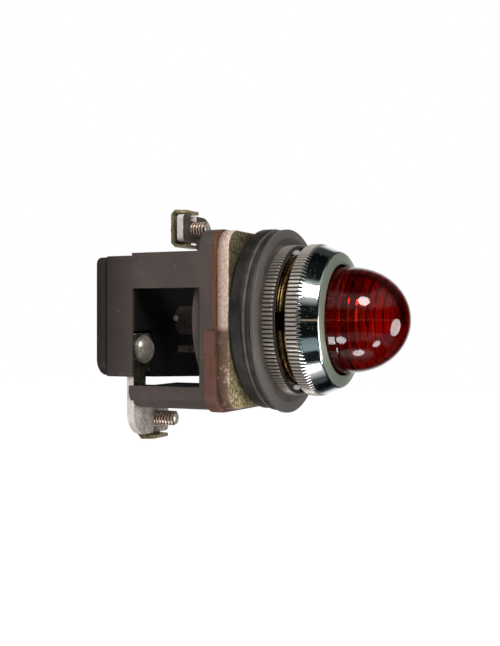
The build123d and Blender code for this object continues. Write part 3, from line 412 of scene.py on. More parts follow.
def chrome_plate():
    """Nickel-chrome plate on turned brass: mirror bright with pin-point pits; the knurl
    is duller and warm, with brown dirt in its notches, and the land round the lens is
    satin with a green cast."""
    made, tree, mm = begin("chrome_plate")
    axes = add(tree, "SeparateXYZ", {0: mm}).outputs
    radius = off_axis(tree, mm)
    pits = add(tree, "TexVoronoi", {"Vector": mm}, {"Scale": 1.3})
    limits = {LOW: 0.15, HIGH: 0.06, TO_HIGH: 0.9}
    pit = add(tree, "MapRange", {VALUE: pits.outputs["Distance"]}, limits)
    haze = add(tree, "TexNoise", {"Vector": mm}, {"Scale": 0.35, "Detail": 5.0})
    colour = add(tree, "Mix", {FACTOR: pit}, {FIRST: "#dbe0e0", SECOND: "#8f938e"}, **COLOUR)
    teeth = knurled(tree, axes, radius)
    colour = add(tree, "Mix", {FACTOR: teeth, FIRST: colour}, {SECOND: "#cfc6bd"}, **COLOUR)
    limits = {LOW: NUT_FRONT - 1.85, HIGH: NUT_FRONT - 0.85, TO_HIGH: 0.7}
    nut = add(tree, "MapRange", {VALUE: axes[1]}, limits)
    colour = add(tree, "Mix", {FACTOR: nut, FIRST: colour}, {SECOND: "#8d847b"}, **COLOUR)
    deep = add(tree, "MapRange", {VALUE: radius}, {LOW: RIM_R - 0.07, HIGH: RIM_R - 0.37})
    dirt = add(tree, "Math", {0: deep, 1: teeth}, operation="MULTIPLY")
    colour = add(tree, "Mix", {FACTOR: dirt, FIRST: colour}, {SECOND: "#3a322d"}, **COLOUR)
    ahead = add(tree, "MapRange", {VALUE: axes[1]}, {LOW: BEZEL_FRONT + 0.65, HIGH: BEZEL_FRONT + 0.5})
    inner = add(tree, "MapRange", {VALUE: radius}, {LOW: LAND_R + 0.15, HIGH: LAND_R})
    land = add(tree, "Math", {0: ahead, 1: inner}, operation="MULTIPLY")
    colour = add(tree, "Mix", {FACTOR: land, FIRST: colour}, {SECOND: "#8d9484"}, **COLOUR)
    mirror = add(tree, "MapRange", {VALUE: haze}, {LOW: 0.35, HIGH: 0.7, TO_LOW: 0.04, TO_HIGH: 0.11})
    satin = add(tree, "MapRange", {VALUE: teeth}, {TO_HIGH: 0.30})
    dull = add(tree, "MapRange", {VALUE: land}, {TO_HIGH: 0.32})
    rough = mirror
    for part in (satin, dull, dirt):
        rough = add(tree, "Math", {0: rough, 1: part}, operation="MAXIMUM")
    worn = add(tree, "Math", {0: teeth, 1: land}, operation="MAXIMUM")
    worn = add(tree, "Math", {0: worn, 1: pit}, operation="MAXIMUM")
    metal = add(tree, "MapRange", {VALUE: worn}, {TO_LOW: 1.0, TO_HIGH: 0.5})
    shader = add(tree, "BsdfPrincipled", {"Base Color": colour, "Roughness": rough, "Metallic": metal})
    add(tree, "OutputMaterial", {0: shader})
    return made


def oxide_steel():
    """Steel washer with a dark oxide: charcoal grey, fine turned rings on the face, a
    lighter rubbed bevel and dusty patches."""
    made, tree, mm = begin("oxide_steel")
    lines = lathe_lines(tree, mm, 3.0)
    dust = add(tree, "TexNoise", {"Vector": mm}, {"Scale": 0.25, "Detail": 6.0, "Roughness": 0.6})
    face = mottled(tree, dust, 0.35, 0.7, "#45403e", "#5d5652")
    face_r = WASHER_R - WASHER_BEVEL_W
    bevel = add(tree, "MapRange", {VALUE: off_axis(tree, mm)}, {LOW: face_r - 0.3, HIGH: face_r})
    colour = add(tree, "Mix", {FACTOR: bevel, FIRST: face}, {SECOND: "#5f5854"}, **COLOUR)
    rough = add(tree, "MapRange", {VALUE: lines}, {LOW: 0.3, HIGH: 0.7, TO_LOW: 0.36, TO_HIGH: 0.55})
    bump = add(tree, "Bump", {"Height": lines}, {"Strength": 0.15, "Distance": 0.00005})
    links = {"Base Color": colour, "Roughness": rough, "Normal": bump}
    shader = add(tree, "BsdfPrincipled", links, {"Metallic": 0.2})
    add(tree, "OutputMaterial", {0: shader})
    return made


def vulcanised_fibre():
    """Vulcanised fibre sheet: red-brown, pressed in layers that show as fine lines along a sheared edge, and
    purple-brown in patches over the thick lower half."""
    made, tree, mm = begin("vulcanised_fibre")
    axes = add(tree, "SeparateXYZ", {0: mm}).outputs
    layers = add(tree, "CombineXYZ", {"X": axes[1]})
    layer = add(tree, "TexNoise", {"Vector": layers}, {"Scale": 4.0, "Detail": 3.0})
    cloud = add(tree, "TexNoise", {"Vector": mm}, {"Scale": 0.5, "Detail": 6.0, "Roughness": 0.7})
    speckle = add(tree, "TexNoise", {"Vector": mm}, {"Scale": 2.0, "Detail": 3.0, "Roughness": 0.7})
    ply = add(tree, "Math", {0: layer, 1: speckle}, operation="MULTIPLY")
    colour = mottled(tree, ply, 0.16, 0.34, "#3a2016", "#7d5338")
    low = add(tree, "MapRange", {VALUE: axes[2]}, {LOW: STEP_LEVEL, HIGH: STEP_LEVEL - 2.5})
    patch = add(tree, "MapRange", {VALUE: cloud}, {LOW: 0.38, HIGH: 0.6, TO_LOW: 0.25, TO_HIGH: 0.9})
    overlay = add(tree, "Math", {0: low, 1: patch}, operation="MULTIPLY")
    colour = add(tree, "Mix", {FACTOR: overlay, FIRST: colour}, {SECOND: "#69463f"}, **COLOUR)
    rough = add(tree, "MapRange", {VALUE: cloud}, {LOW: 0.3, HIGH: 0.7, TO_LOW: 0.45, TO_HIGH: 0.65})
    bump = add(tree, "Bump", {"Height": layer}, {"Strength": 0.2, "Distance": 0.00006})
    shader = add(tree, "BsdfPrincipled", {"Base Color": colour, "Roughness": rough, "Normal": bump})
    add(tree, "OutputMaterial", {0: shader})
    return made


def stamped_metal(name, colours, rough, metal, seed, relief=0.10):
    """Plated metal, stamped or headed: soft sheen with mottled tarnish between the first
    two colours, and small scuffs 0.4 mm across in the third. The seed moves the pattern."""
    made, tree, mm = begin(name)
    dark, light, spot = colours
    moved = add(tree, "Mapping", {"Vector": mm}, {"Location": (seed, 2.0 * seed, 0.0)})
    cloud = add(tree, "TexNoise", {"Vector": moved}, {"Scale": 0.45, "Detail": 6.0, "Roughness": 0.65})
    fine = add(tree, "TexNoise", {"Vector": moved}, {"Scale": 2.5, "Detail": 4.0})
    colour = mottled(tree, cloud, 0.35, 0.65, dark, light)
    scuff = add(tree, "MapRange", {VALUE: fine}, {LOW: 0.56, HIGH: 0.70})
    colour = add(tree, "Mix", {FACTOR: scuff, FIRST: colour}, {SECOND: spot}, **COLOUR)
    sheen = add(tree, "MapRange", {VALUE: cloud}, {LOW: 0.3, HIGH: 0.7, TO_LOW: rough, TO_HIGH: rough + 0.18})
    bump = add(tree, "Bump", {"Height": fine}, {"Strength": relief, "Distance": 0.00005})
    links = {"Base Color": colour, "Roughness": sheen, "Normal": bump}
    shader = add(tree, "BsdfPrincipled", links, {"Metallic": metal})
    add(tree, "OutputMaterial", {0: shader})
    return made


def tinned_strip():
    """Tinned brass strip: mottled grey on its flat faces, with a painted highlight in near white along its
    sheared edges, painted shade in black-brown with pale specks where the cage shades it, and a painted dark
    reflection on the front face of the upper strip."""
    made, tree, mm = begin("tinned_brass")
    axes = add(tree, "SeparateXYZ", {0: mm}).outputs
    cloud = add(tree, "TexNoise", {"Vector": mm}, {"Scale": 0.45, "Detail": 6.0, "Roughness": 0.65})
    fine = add(tree, "TexNoise", {"Vector": mm}, {"Scale": 2.5, "Detail": 4.0})
    scuff = add(tree, "MapRange", {VALUE: fine}, {LOW: 0.55, HIGH: 0.68})
    face = mottled(tree, cloud, 0.35, 0.65, "#77706b", "#aaa19b")
    face = add(tree, "Mix", {FACTOR: scuff, FIRST: face}, {SECOND: "#d8cfc9"}, **COLOUR)
    # Painted shade, black-brown with pale specks, where the cage shades the strips.
    height = add(tree, "Math", {0: axes[2]}, operation="ABSOLUTE")
    painted_cage_shade = add(tree, "MapRange", {VALUE: height}, {LOW: PAINTED_SHADE_TOP + 0.5, HIGH: PAINTED_SHADE_TOP - 0.5})
    dark = add(tree, "Mix", {FACTOR: scuff}, {FIRST: "#1d190f", SECOND: "#6d6655"}, **COLOUR)
    face = add(tree, "Mix", {FACTOR: painted_cage_shade, FIRST: face, SECOND: dark}, **COLOUR)
    # Painted dark reflection on the front face of the upper strip.
    facing = facing_rear(tree)
    front = add(tree, "MapRange", {VALUE: facing}, {LOW: -0.5, HIGH: -0.8, TO_HIGH: 0.85})
    upper = add(tree, "MapRange", {VALUE: axes[2]}, {LOW: PAINTED_SHADE_TOP - 0.5, HIGH: PAINTED_SHADE_TOP + 0.5})
    dull = add(tree, "Math", {0: front, 1: upper}, operation="MULTIPLY")
    face = add(tree, "Mix", {FACTOR: dull, FIRST: face}, {SECOND: "#322c25"}, **COLOUR)
    # Painted highlight, near white, along the sheared edges.
    flat = add(tree, "Math", {0: facing}, operation="ABSOLUTE")
    edge = add(tree, "MapRange", {VALUE: flat}, {LOW: 0.8, HIGH: 0.5})
    rim = add(tree, "Mix", {FACTOR: scuff}, {FIRST: "#e4d9d3", SECOND: "#faf5f2"}, **COLOUR)
    colour = add(tree, "Mix", {FACTOR: edge, FIRST: face, SECOND: rim}, **COLOUR)
    sheen = add(tree, "MapRange", {VALUE: cloud}, {LOW: 0.3, HIGH: 0.7, TO_LOW: 0.28, TO_HIGH: 0.46})
    bump = add(tree, "Bump", {"Height": fine}, {"Strength": 0.10, "Distance": 0.00005})
    links = {"Base Color": colour, "Roughness": sheen, "Normal": bump}
    shader = add(tree, "BsdfPrincipled", links, {"Metallic": 0.15})
    add(tree, "OutputMaterial", {0: shader})
    return made


def slot_dirt(tree, axes, colour, top):
    """The colour, with dark dirt on the floor of a slot under the given top of a head."""
    flat = add(tree, "Math", {0: facing_rear(tree)}, {1: 0.9}, operation="GREATER_THAN")
    floor = add(tree, "Math", {0: axes[1]}, {1: top - SLOT_DEPTH, 2: 0.3}, operation="COMPARE")
    slot = add(tree, "Math", {0: flat, 1: floor}, operation="MULTIPLY")
    return add(tree, "Mix", {FACTOR: slot, FIRST: colour}, {SECOND: "#16120f"}, **COLOUR)


def plated_steel(name, top):
    """Zinc-plated steel screw: silvery with a green cast, and dirt in the slot under the
    given top of its head."""
    made, tree, mm = begin(name)
    axes = add(tree, "SeparateXYZ", {0: mm}).outputs
    cloud = add(tree, "TexNoise", {"Vector": mm}, {"Scale": 0.6, "Detail": 5.0, "Roughness": 0.6})
    colour = mottled(tree, cloud, 0.35, 0.65, "#98a294", "#c3cabd")
    colour = slot_dirt(tree, axes, colour, top)
    sheen = add(tree, "MapRange", {VALUE: cloud}, {LOW: 0.3, HIGH: 0.7, TO_LOW: 0.24, TO_HIGH: 0.42})
    shader = add(tree, "BsdfPrincipled", {"Base Color": colour, "Roughness": sheen}, {"Metallic": 0.6})
    add(tree, "OutputMaterial", {0: shader})
    return made


def rolled_screw(name, centre, top):
    """Brass screw with a rolled thread round the given x and z: pinkish-white rubbed
    crests over coppery brown grooves, silvery at the point and the head, and dirt in the
    slot under the given top of its head."""
    made, tree, mm = begin(name)
    axes = add(tree, "SeparateXYZ", {0: mm}).outputs
    reach = off_axis(tree, mm, centre)
    crest = add(tree, "MapRange", {VALUE: reach}, {LOW: SCREW_R - 0.25, HIGH: SCREW_R - 0.05})
    core = add(tree, "MapRange", {VALUE: reach}, {LOW: SCREW_R - 0.33, HIGH: SCREW_R - 0.39})
    under_head = top - TERMINAL_HEAD_H - 0.02
    head = add(tree, "Math", {0: axes[1]}, {1: under_head}, operation="GREATER_THAN")
    core = add(tree, "Math", {0: core, 1: head}, operation="MAXIMUM")
    fine = add(tree, "TexNoise", {"Vector": mm}, {"Scale": 1.5, "Detail": 4.0})
    groove = mottled(tree, fine, 0.4, 0.6, "#2a190f", "#6b422b")
    colour = add(tree, "Mix", {FACTOR: crest, FIRST: groove}, {SECOND: "#e6cabb"}, **COLOUR)
    colour = add(tree, "Mix", {FACTOR: core, FIRST: colour}, {SECOND: "#c4bab0"}, **COLOUR)
    colour = slot_dirt(tree, axes, colour, top)
    sheen = add(tree, "MapRange", {VALUE: fine}, {LOW: 0.3, HIGH: 0.7, TO_LOW: 0.20, TO_HIGH: 0.36})
    shader = add(tree, "BsdfPrincipled", {"Base Color": colour, "Roughness": sheen}, {"Metallic": 0.55})
    add(tree, "OutputMaterial", {0: shader})
    return made


def acrylic_red():
    """Moulded acrylic in ruby red: clear and polished outside, as moulded and a little
    milky inside, most of all on the flutes. It looks nearly black-red where the light's
    path through it is long and orange-brown where the wall is thin."""
    made, tree, mm = begin("acrylic_red")
    axes = add(tree, "SeparateXYZ", {0: mm}).outputs
    radius = off_axis(tree, mm)
    smear = add(tree, "TexNoise", {"Vector": mm}, {"Scale": 0.4, "Detail": 4.0})
    rough = add(tree, "MapRange", {VALUE: smear}, {LOW: 0.4, HIGH: 0.8, TO_HIGH: 0.04})
    dome = add(tree, "Math", {0: axes[1]}, {1: DOME_Y}, operation="MINIMUM")
    dome = add(tree, "MapRange", {VALUE: dome}, {LOW: DOME_Y, HIGH: DOME_Y - INNER_H}, clamp=False)
    across = add(tree, "Math", {0: radius}, {1: LENS_INNER_R}, operation="DIVIDE")
    reach = add(tree, "VectorMath", {0: add(tree, "CombineXYZ", {0: across, 1: dome})}, operation="LENGTH")
    inner = add(tree, "MapRange", {VALUE: reach}, {LOW: 1.09, HIGH: 1.07})
    limits = {LOW: DOME_Y - 0.65, HIGH: DOME_Y - 0.35, TO_LOW: 0.14, TO_HIGH: 0.45}
    fluted = add(tree, "MapRange", {VALUE: axes[1]}, limits)
    frost = add(tree, "Math", {0: inner, 1: fluted}, operation="MULTIPLY")
    clear = add(tree, "Math", {1: frost}, {0: 1.0}, operation="SUBTRACT")
    colour = add(tree, "Mix", {FACTOR: inner}, {FIRST: "#ffb8a6", SECOND: "#ff6a52"}, **COLOUR)
    links = {"Base Color": colour, "Roughness": rough, "Transmission Weight": clear}
    shader = add(tree, "BsdfPrincipled", links, {"IOR": 1.49})
    inside = add(tree, "VolumeAbsorption", None, {"Color": "#e39a48", "Density": 1500.0})
    add(tree, "OutputMaterial", {0: shader, 1: inside})
    return made


def lamp_bulb_glass():
    """Drawn soda glass of a small lamp: clear and thin."""
    made, tree, mm = begin("lamp_bulb_glass")
    smear = add(tree, "TexNoise", {"Vector": mm}, {"Scale": 0.5, "Detail": 3.0})
    rough = add(tree, "MapRange", {VALUE: smear}, {LOW: 0.4, HIGH: 0.8, TO_HIGH: 0.05})
    glass = {"Base Color": "#f4f4ef", "Transmission Weight": 1.0, "IOR": 1.1}
    shader = add(tree, "BsdfPrincipled", {"Roughness": rough}, glass)
    add(tree, "OutputMaterial", {0: shader})
    return made


# Inner colours of the moulded phenolic: near-black painted shade inside cage, block and cover.
PHENOLIC = moulded_phenolic("moulded_phenolic", ("#030202", "#070606"))
SOCKET = moulded_phenolic("dusty_phenolic", ("#2f2926", "#5a504a"))
ZINC = chromate_zinc()
THREAD = chromate_thread()
GASKET = turned_rubber("turned_neoprene", "#141110", "#302b28")
THIN_GASKET = turned_rubber("thin_neoprene", "#191615", "#3d3734")
PALE_WASHER = turned_rubber("pressed_paper_washer", "#3f3833", "#655c55")
CHROME = chrome_plate()
OXIDE = oxide_steel()
FIBRE = vulcanised_fibre()
TINNED = tinned_strip()
OLIVE = stamped_metal("olive_brass", ("#6a6240", "#a59a72", "#dcc9b6"), rough=0.30, metal=0.5, seed=11.0)
STRAP = stamped_metal("strap_brass", ("#5c4d42", "#8a786a", "#b3a294"), rough=0.35, metal=0.4, seed=13.0)
RIVET = stamped_metal("headed_steel", ("#a8a196", "#cbc4b8", "#dcd6ca"),
                      rough=0.27, metal=0.7, seed=17.0, relief=0.0)
SILVER = stamped_metal("silver_contact", ("#a8998a", "#cfc3b5", "#e3d9cd"), rough=0.35, metal=0.3, seed=19.0)
NICKEL = stamped_metal("nickel_plate", ("#a9a59d", "#c8c4bc", "#e4e2dc"), rough=0.2, metal=0.8, seed=31.0)
CERAMIC = stamped_metal("coated_ceramic", ("#b0a995", "#c9c2b0", "#d8d2c4"), rough=0.5, metal=0.0, seed=41.0)
LENS = acrylic_red()
GLASS = lamp_bulb_glass()

finishes = {
    PHENOLIC: "cage rear_block rear_cover",
    SOCKET: "socket_insulator",
    ZINC: "mounting_bushing",
    GASKET: "rear_gasket lens_gasket",
    THIN_GASKET: "thin_gasket",
    PALE_WASHER: "thin_washer",
    OXIDE: "front_washer",
    CHROME: "ring_nut bezel",
    FIBRE: "fibre_insulator",
    TINNED: "terminal_lower terminal_upper",
    OLIVE: "clamp_lower clamp_upper socket_shell contact_plunger resistor_tabs",
    STRAP: "contact_strap",
    RIVET: "rivet_lower rivet_upper rivet_washers contact_pin",
    SILVER: "contact_rivet",
    NICKEL: "lamp_base contact_spring",
    CERAMIC: "series_resistor",
    LENS: "lens",
    GLASS: "lamp_glass",
}
for finish, names in finishes.items():
    for name in names.split():
        NODES[name].data.materials.clear()
        NODES[name].data.materials.append(finish)


def merged(node):
    """A CAD node's mesh as a bmesh, with the doubles of its loose triangles merged."""
    shell = bmesh.new()
    shell.from_mesh(NODES[node].data)
    bmesh.ops.remove_doubles(shell, verts=shell.verts, dist=2e-6)
    return shell


def softened(node, width, body, finish):
    """Copy of a CAD node with its flat faces joined and its sharp edges rounded to the
    given width in millimetres; it stands for the node."""
    shell = merged(node)
    bmesh.ops.dissolve_limit(shell, angle_limit=radians(0.6), verts=shell.verts, edges=shell.edges)
    mesh = smoothed(shell, bpy.data.meshes.new(node + "_dressed"), 35)
    piece = place(mesh, body, finish, node)
    edge = piece.modifiers.new("soft edge", "BEVEL")
    edge.width = width * MM
    edge.segments = 2
    edge.limit_method = "ANGLE"
    edge.angle_limit = radians(40)
    edge.harden_normals = True


def wave(turns):
    """Triangle wave of a count of turns: 0 at whole turns, 1 half way between them."""
    return 1 - np.abs(2 * (turns - np.floor(turns)) - 1)


def knurl(outer, lead):
    """Straight knurl: the radius stays under outer less the notch's depth, where the notch
    is a triangle wave of the angle, narrowed so that each tooth keeps a flat top. The lead
    moves the teeth by a part of a tooth."""
    steep, flat_top = 1.5, 0.35

    def shift(radius, y, angle):
        turns = KNURL_TEETH * (angle / (2 * pi)) + lead
        notch = np.clip(steep * wave(turns) - flat_top, 0, 1)
        return np.minimum(0, outer - KNURL_DEPTH * notch - radius)

    return shift


# Bezel: knurled rim behind a smooth cone, then a land that rises a little towards the
# hole, and a lip over the lens.
cone = (RIM_R - LAND_R) / (RIM_FRONT - BEZEL_FRONT)
bezel_corners = [
    (THREAD_BORE, BEZEL_REAR),
    (RIM_R, BEZEL_REAR),
    (RIM_R, RIM_FRONT),
    (LAND_R + cone * LAND_RISE, BEZEL_FRONT + LAND_RISE),
    (HOLE_R + HOLE_BEVEL_W, BEZEL_FRONT),
    (HOLE_R, BEZEL_FRONT + HOLE_BEVEL_H),
    (HOLE_R, BEZEL_FRONT + LIP_W),
    (THREAD_BORE, BEZEL_FRONT + LIP_W),
]
roundings = [0.2, 0.35, 0.15, 0.4, 0.4, 0.1, 0.1, 0.1]
profile = split(rounded(bezel_corners, roundings), KNURL_ROW)
mesh = turned("bezel_turned", profile, KNURL_COLUMNS, 30, knurl(RIM_R, lead=0.0))
place(mesh, "bezel", CHROME, "bezel")

# Ring nut: the same knurl all along, with a chamfered front.
nut_corners = [
    (THREAD_BORE, NUT_REAR),
    (NUT_R, NUT_REAR),
    (NUT_R, NUT_FRONT + NUT_CHAMFER),
    (NUT_R - NUT_CHAMFER, NUT_FRONT),
    (THREAD_BORE + NUT_LEAD_IN, NUT_FRONT),
    (THREAD_BORE, NUT_FRONT + NUT_LEAD_IN),
]
roundings = [0.1, 0.15, 0.2, 0.2, 0.1, 0.1]
profile = split(rounded(nut_corners, roundings), KNURL_ROW)
mesh = turned("nut_turned", profile, KNURL_COLUMNS, 30, knurl(NUT_R, lead=0.3))
place(mesh, "ring_nut", CHROME, "ring_nut")


def ring(node, body, finish, bevels, wobble):
    """Flat ring in the place of a CAD ring, with its own bevels as (width, height) at the
    front and rear outer corners; its rim waves by a few hundredths of a millimetre."""
    low, high = span(node)
    outer = (high[0] - low[0]) / 2
    middle = (low[2] + high[2]) / 2
    (front_w, front_h), (rear_w, rear_h) = bevels
    corners = [
        (RING_BORE, low[1]),
        (outer - front_w, low[1]),
        (outer, low[1] + front_h),
        (outer, high[1] - rear_h),
        (outer - rear_w, high[1]),
        (RING_BORE, high[1]),
    ]
    profile = split(rounded(corners, 0.12), 0.6)

    def shift(radius, y, angle):
        swell = 1 + np.sin(3 * angle + 1.1) * np.sin(2 * angle)
        return -wobble * swell * (radius > RING_BORE + 1)

    mesh = turned(node + "_turned", profile, 256, 30, shift, (0.0, middle))
    place(mesh, body, finish, node)


ring("rear_gasket", "base", GASKET, ((0.3, 0.3), (0.8, 0.8)), wobble=0.03)
ring("thin_washer", "panel_clamp", PALE_WASHER, ((0.15, 0.15), (0.15, 0.15)), wobble=0.05)
ring("thin_gasket", "panel_clamp", THIN_GASKET, ((0.2, 0.2), (0.2, 0.2)), wobble=0.03)
ring("front_washer", "panel_clamp", OXIDE, ((WASHER_BEVEL_W, 0.25), (0.1, 0.1)), wobble=0.0)


# Bushing: the casting's flange and bore from the CAD, and in the place of its plain
# tube a threaded one with the keyway.
def tube_face(face):
    """True for a face of the plain tube's outside, its keyway or its end."""
    centre = face.calc_center_median() / MM
    outside = np.hypot(centre.x, centre.z) > TUBE_BORE_R + 0.17
    return outside and centre.y < FLANGE_FRONT - 0.05


shell = merged("mounting_bushing")
bmesh.ops.delete(shell, geom=[face for face in shell.faces if tube_face(face)], context="FACES")
mesh = smoothed(shell, bpy.data.meshes.new("bushing_flange"), 30)
place(mesh, "base", ZINC, "mounting_bushing")


def thread_shift(radius, y, angle):
    """Right-handed thread: a ridge's height is a triangle wave of y / pitch less the
    turn, cut flat at the crests; the keyway cuts through it on the near side. The bore
    keeps its radius."""
    outer = np.clip((radius - (THREAD_R - 1)) / 0.5, 0, 1)
    steep, root = 1.35, 0.1
    ridge = np.clip(steep * wave(y / THREAD_PITCH - angle / (2 * pi)) - root, 0, 1)
    cut = -THREAD_DEPTH * (1 - ridge) * outer
    level = radius * np.sin(angle)
    key = (np.abs(level - KEY_LEVEL) < KEY_HALF) & (np.cos(angle) < 0)
    return np.where(key, -KEY_DEPTH * outer, cut)


tube_corners = np.array([
    (TUBE_BORE_R, TUBE_END),
    (THREAD_R - TUBE_CHAMFER, TUBE_END),
    (THREAD_R, TUBE_END + TUBE_CHAMFER),
    (THREAD_R, FLANGE_FRONT + 0.1),
    (TUBE_BORE_R, FLANGE_FRONT + 0.1),
])
mesh = turned("bushing_thread", split(tube_corners, 0.1), 420, 40, thread_shift)
place(mesh, "base", THREAD, "mounting_bushing")

# Lens: smooth outside, small square-edged prism rings standing up inside, which send
# light back as thin bright arcs, and bands of fine flutes near the flange. The walls
# are quarter ellipses: (r cos t, y - h sin t). A prism's height falls off with the
# distance along the wall from its tip, at 45 degrees. Each prism is its tip's y and half
# its width, in millimetres.
PRISMS = [
    (-28.80, 0.14), (-28.03, 0.18), (-26.94, 0.22), (-25.47, 0.25),
    (-24.08, 0.27), (-22.26, 0.28), (-20.52, 0.28), (-18.85, 0.28),
]
t = np.linspace(0, pi / 2, 60)[:, None]
outside = np.hstack([(LENS_R - SHOULDER) * np.cos(t), DOME_Y - DOME_H * np.sin(t)])
t = np.linspace(pi / 2, 0, 400)
inner = np.stack([LENS_INNER_R * np.cos(t), DOME_Y - INNER_H * np.sin(t)], axis=1)
run = np.concatenate([[0.0], np.cumsum(np.linalg.norm(np.diff(inner, axis=0), axis=1))])
tip_y, half = np.array(PRISMS).T
tips = np.interp(tip_y, inner[:, 1], run)
stations = np.unique(np.concatenate([np.linspace(0, run[-1], 150), tips - half, tips, tips + half]))
inner = np.stack([np.interp(stations, run, inner[:, k]) for k in (0, 1)], axis=1)
inward = -np.stack([inner[:, 0] / LENS_INNER_R**2, (inner[:, 1] - DOME_Y) / INNER_H**2], axis=1)
inward /= np.linalg.norm(inward, axis=1)[:, None]
prism = np.clip(half - np.abs(stations[:, None] - tips), 0, None).max(axis=1)
inside = inner + inward * prism[:, None]
inside[0, 0] = 0.0
flange = np.array([
    (LENS_INNER_R, LENS_SEAT),
    (LENS_FLANGE_R, LENS_SEAT),
    (LENS_FLANGE_R, LENS_SEAT - LENS_FLANGE_T),
    (LENS_R, LENS_SEAT - LENS_FLANGE_T),
    (LENS_R, DOME_Y + SHOULDER),
])
poles = [(0.0, LENS_APEX), (0.0, LENS_APEX + LENS_WALL)]
bottom = np.linspace(inside[-1], (LENS_INNER_R, LENS_SEAT - 0.3), 24)[1:]
lens_profile = np.vstack([rounded(flange, 0.08, 4)[2:-2], outside[:-1], poles, inside[1:], bottom])


def flutes(radius, y, angle):
    """Shallow flutes moulded inside the wall, next to the flange, in two bands."""
    wall = np.abs(radius - LENS_INNER_R) < 0.4
    between = np.abs(y - (DOME_Y + 0.6)) < 0.35
    bands = wall & (y > DOME_Y - 1.5) & (y < LENS_SEAT - 1.0) & ~between
    return np.where(bands, FLUTE_DEPTH * wave(FLUTES * angle / (2 * pi)), 0.0)


mesh = turned("lens_moulding", lens_profile, 4 * FLUTES, 30, flutes)
place(mesh, "lens_unit", LENS, "lens")


def slotted_head(name, centre, radius, height, top):
    """Screw head round the given x and z, tapered by 6 degrees towards its top, with a
    straight slot. Its rows are chords x = r sin(p), each a strip from rim to rim that
    goes down to the seat; the chords between the slot's sides lie on the slot's floor."""
    rim = radius - HEAD_TAPER * height
    chords = rim * np.sin(np.linspace(-pi / 2, pi / 2, 41))
    chords = chords[np.abs(chords) > SLOT_HALF + 0.05]
    sides = [-SLOT_HALF, -SLOT_HALF, SLOT_HALF, SLOT_HALF]
    half = len(chords) // 2
    across = np.concatenate([chords[:half], sides, chords[half:]])
    level = np.full(len(across), top)
    level[half + 1 : half + 3] = top - SLOT_DEPTH
    reach = np.sqrt(np.maximum(rim**2 - across**2, 0))
    flare = np.array([radius / rim, 1, 0.95, 0.95, 1, radius / rim])
    turn = np.array([-1, -1, -1, 1, 1, 1])
    drop = np.array([height, HEAD_EDGE, 0, 0, HEAD_EDGE, height])
    u = across[:, None] * flare
    v = reach[:, None] * flare * turn
    y = np.minimum(level[:, None], top - drop)
    x = centre[0] + u * cos(SLOT_TURN) - v * sin(SLOT_TURN)
    z = centre[1] + u * sin(SLOT_TURN) + v * cos(SLOT_TURN)
    return grid_mesh(name, np.stack([x, y, z], axis=-1), 30, along=False)


def terminal_screw(node):
    """Slotted terminal screw: its head, and a rolled thread with a domed point instead of
    the CAD's plain shank. Each body has its screw's own name."""
    low, high = span(node)
    seat = high[1] - TERMINAL_HEAD_H
    centre = ((low[0] + high[0]) / 2, (low[2] + high[2]) / 2)
    finish = rolled_screw(node + "_brass", centre, high[1])
    radius = (high[0] - low[0]) / 2
    head = slotted_head(node + "_head", centre, radius, TERMINAL_HEAD_H, high[1])
    place(head, node, finish, node)
    inside_head = seat + 0.05
    rows = np.arange(low[1] + 0.55, inside_head, 0.06)[:, None]
    shank = np.hstack([np.full_like(rows, SCREW_R), rows])
    point = np.array([(0.0, 0.0), (0.6, 0.03), (1.1, 0.15), (1.45, 0.35)]) + (0.0, low[1])
    profile = np.vstack([point, shank, [(0.0, inside_head)]])

    def shift(radius, y, angle):
        ridge = np.clip(1.3 * wave(y / SCREW_PITCH - angle / (2 * pi)), 0, 1)
        return -SCREW_DEPTH * (1 - ridge) * (radius > SCREW_R - 0.15)

    mesh = turned(node + "_thread", profile, 72, 50, shift, centre)
    place(mesh, node, finish, node)


terminal_screw("screw_lower")
terminal_screw("screw_upper")

# Cage and cover screws: only their heads show, one on each side of the axis. The cover's
# two lie on the other diagonal.
for node, radius, height, diagonal in (
    ("cage_screws", CAGE_HEAD_R, CAGE_HEAD_H, 1),
    ("cover_screws", COVER_HEAD_R, COVER_HEAD_H, -1),
):
    low, high = span(node)
    finish = plated_steel(node + "_steel", high[1])
    for side in (-1, 1):
        centre = (side * (high[0] - radius), side * diagonal * (high[2] - radius))
        name = node + ("_head_low" if centre[1] < 0 else "_head_high")
        mesh = slotted_head(name, centre, radius, height, high[1])
        place(mesh, "base", finish, node)

# Mouldings and stampings: CAD shapes with their edges softened.
for node, width in (("cage", 0.3), ("rear_block", 0.4), ("rear_cover", 0.4)):
    softened(node, width, "base", PHENOLIC)
softened("socket_insulator", 0.12, "base", SOCKET)
softened("fibre_insulator", 0.15, "base", FIBRE)
softened("contact_strap", 0.08, "base", STRAP)
for node in ("terminal_lower", "terminal_upper"):
    softened(node, 0.2, "base", TINNED)
for node in ("clamp_lower", "clamp_upper"):
    softened(node, 0.12, node, OLIVE)

# Camera at the photograph's angle: level with the axis, 24.8 degrees off square to
# the near side, from in front. Its focal length is 1000 pixels of the photograph, whose
# longer side has 646.
EYE = (-0.2166, -0.0926, -0.0007)
LOOK = (0.908, 0.420, 0.0)
FOCAL, LONGER_SIDE = 1000.0, 646.0
SENSOR = 36.0
eye = bpy.data.cameras.new("camera")
eye.sensor_width = SENSOR
eye.lens = FOCAL / LONGER_SIDE * SENSOR
eye.clip_start = 0.01
camera = bpy.data.objects.new("camera", eye)
scene.collection.objects.link(camera)
camera.location = EYE
camera.rotation_euler = Vector(LOOK).to_track_quat("-Z", "Y").to_euler()
scene.camera = camera

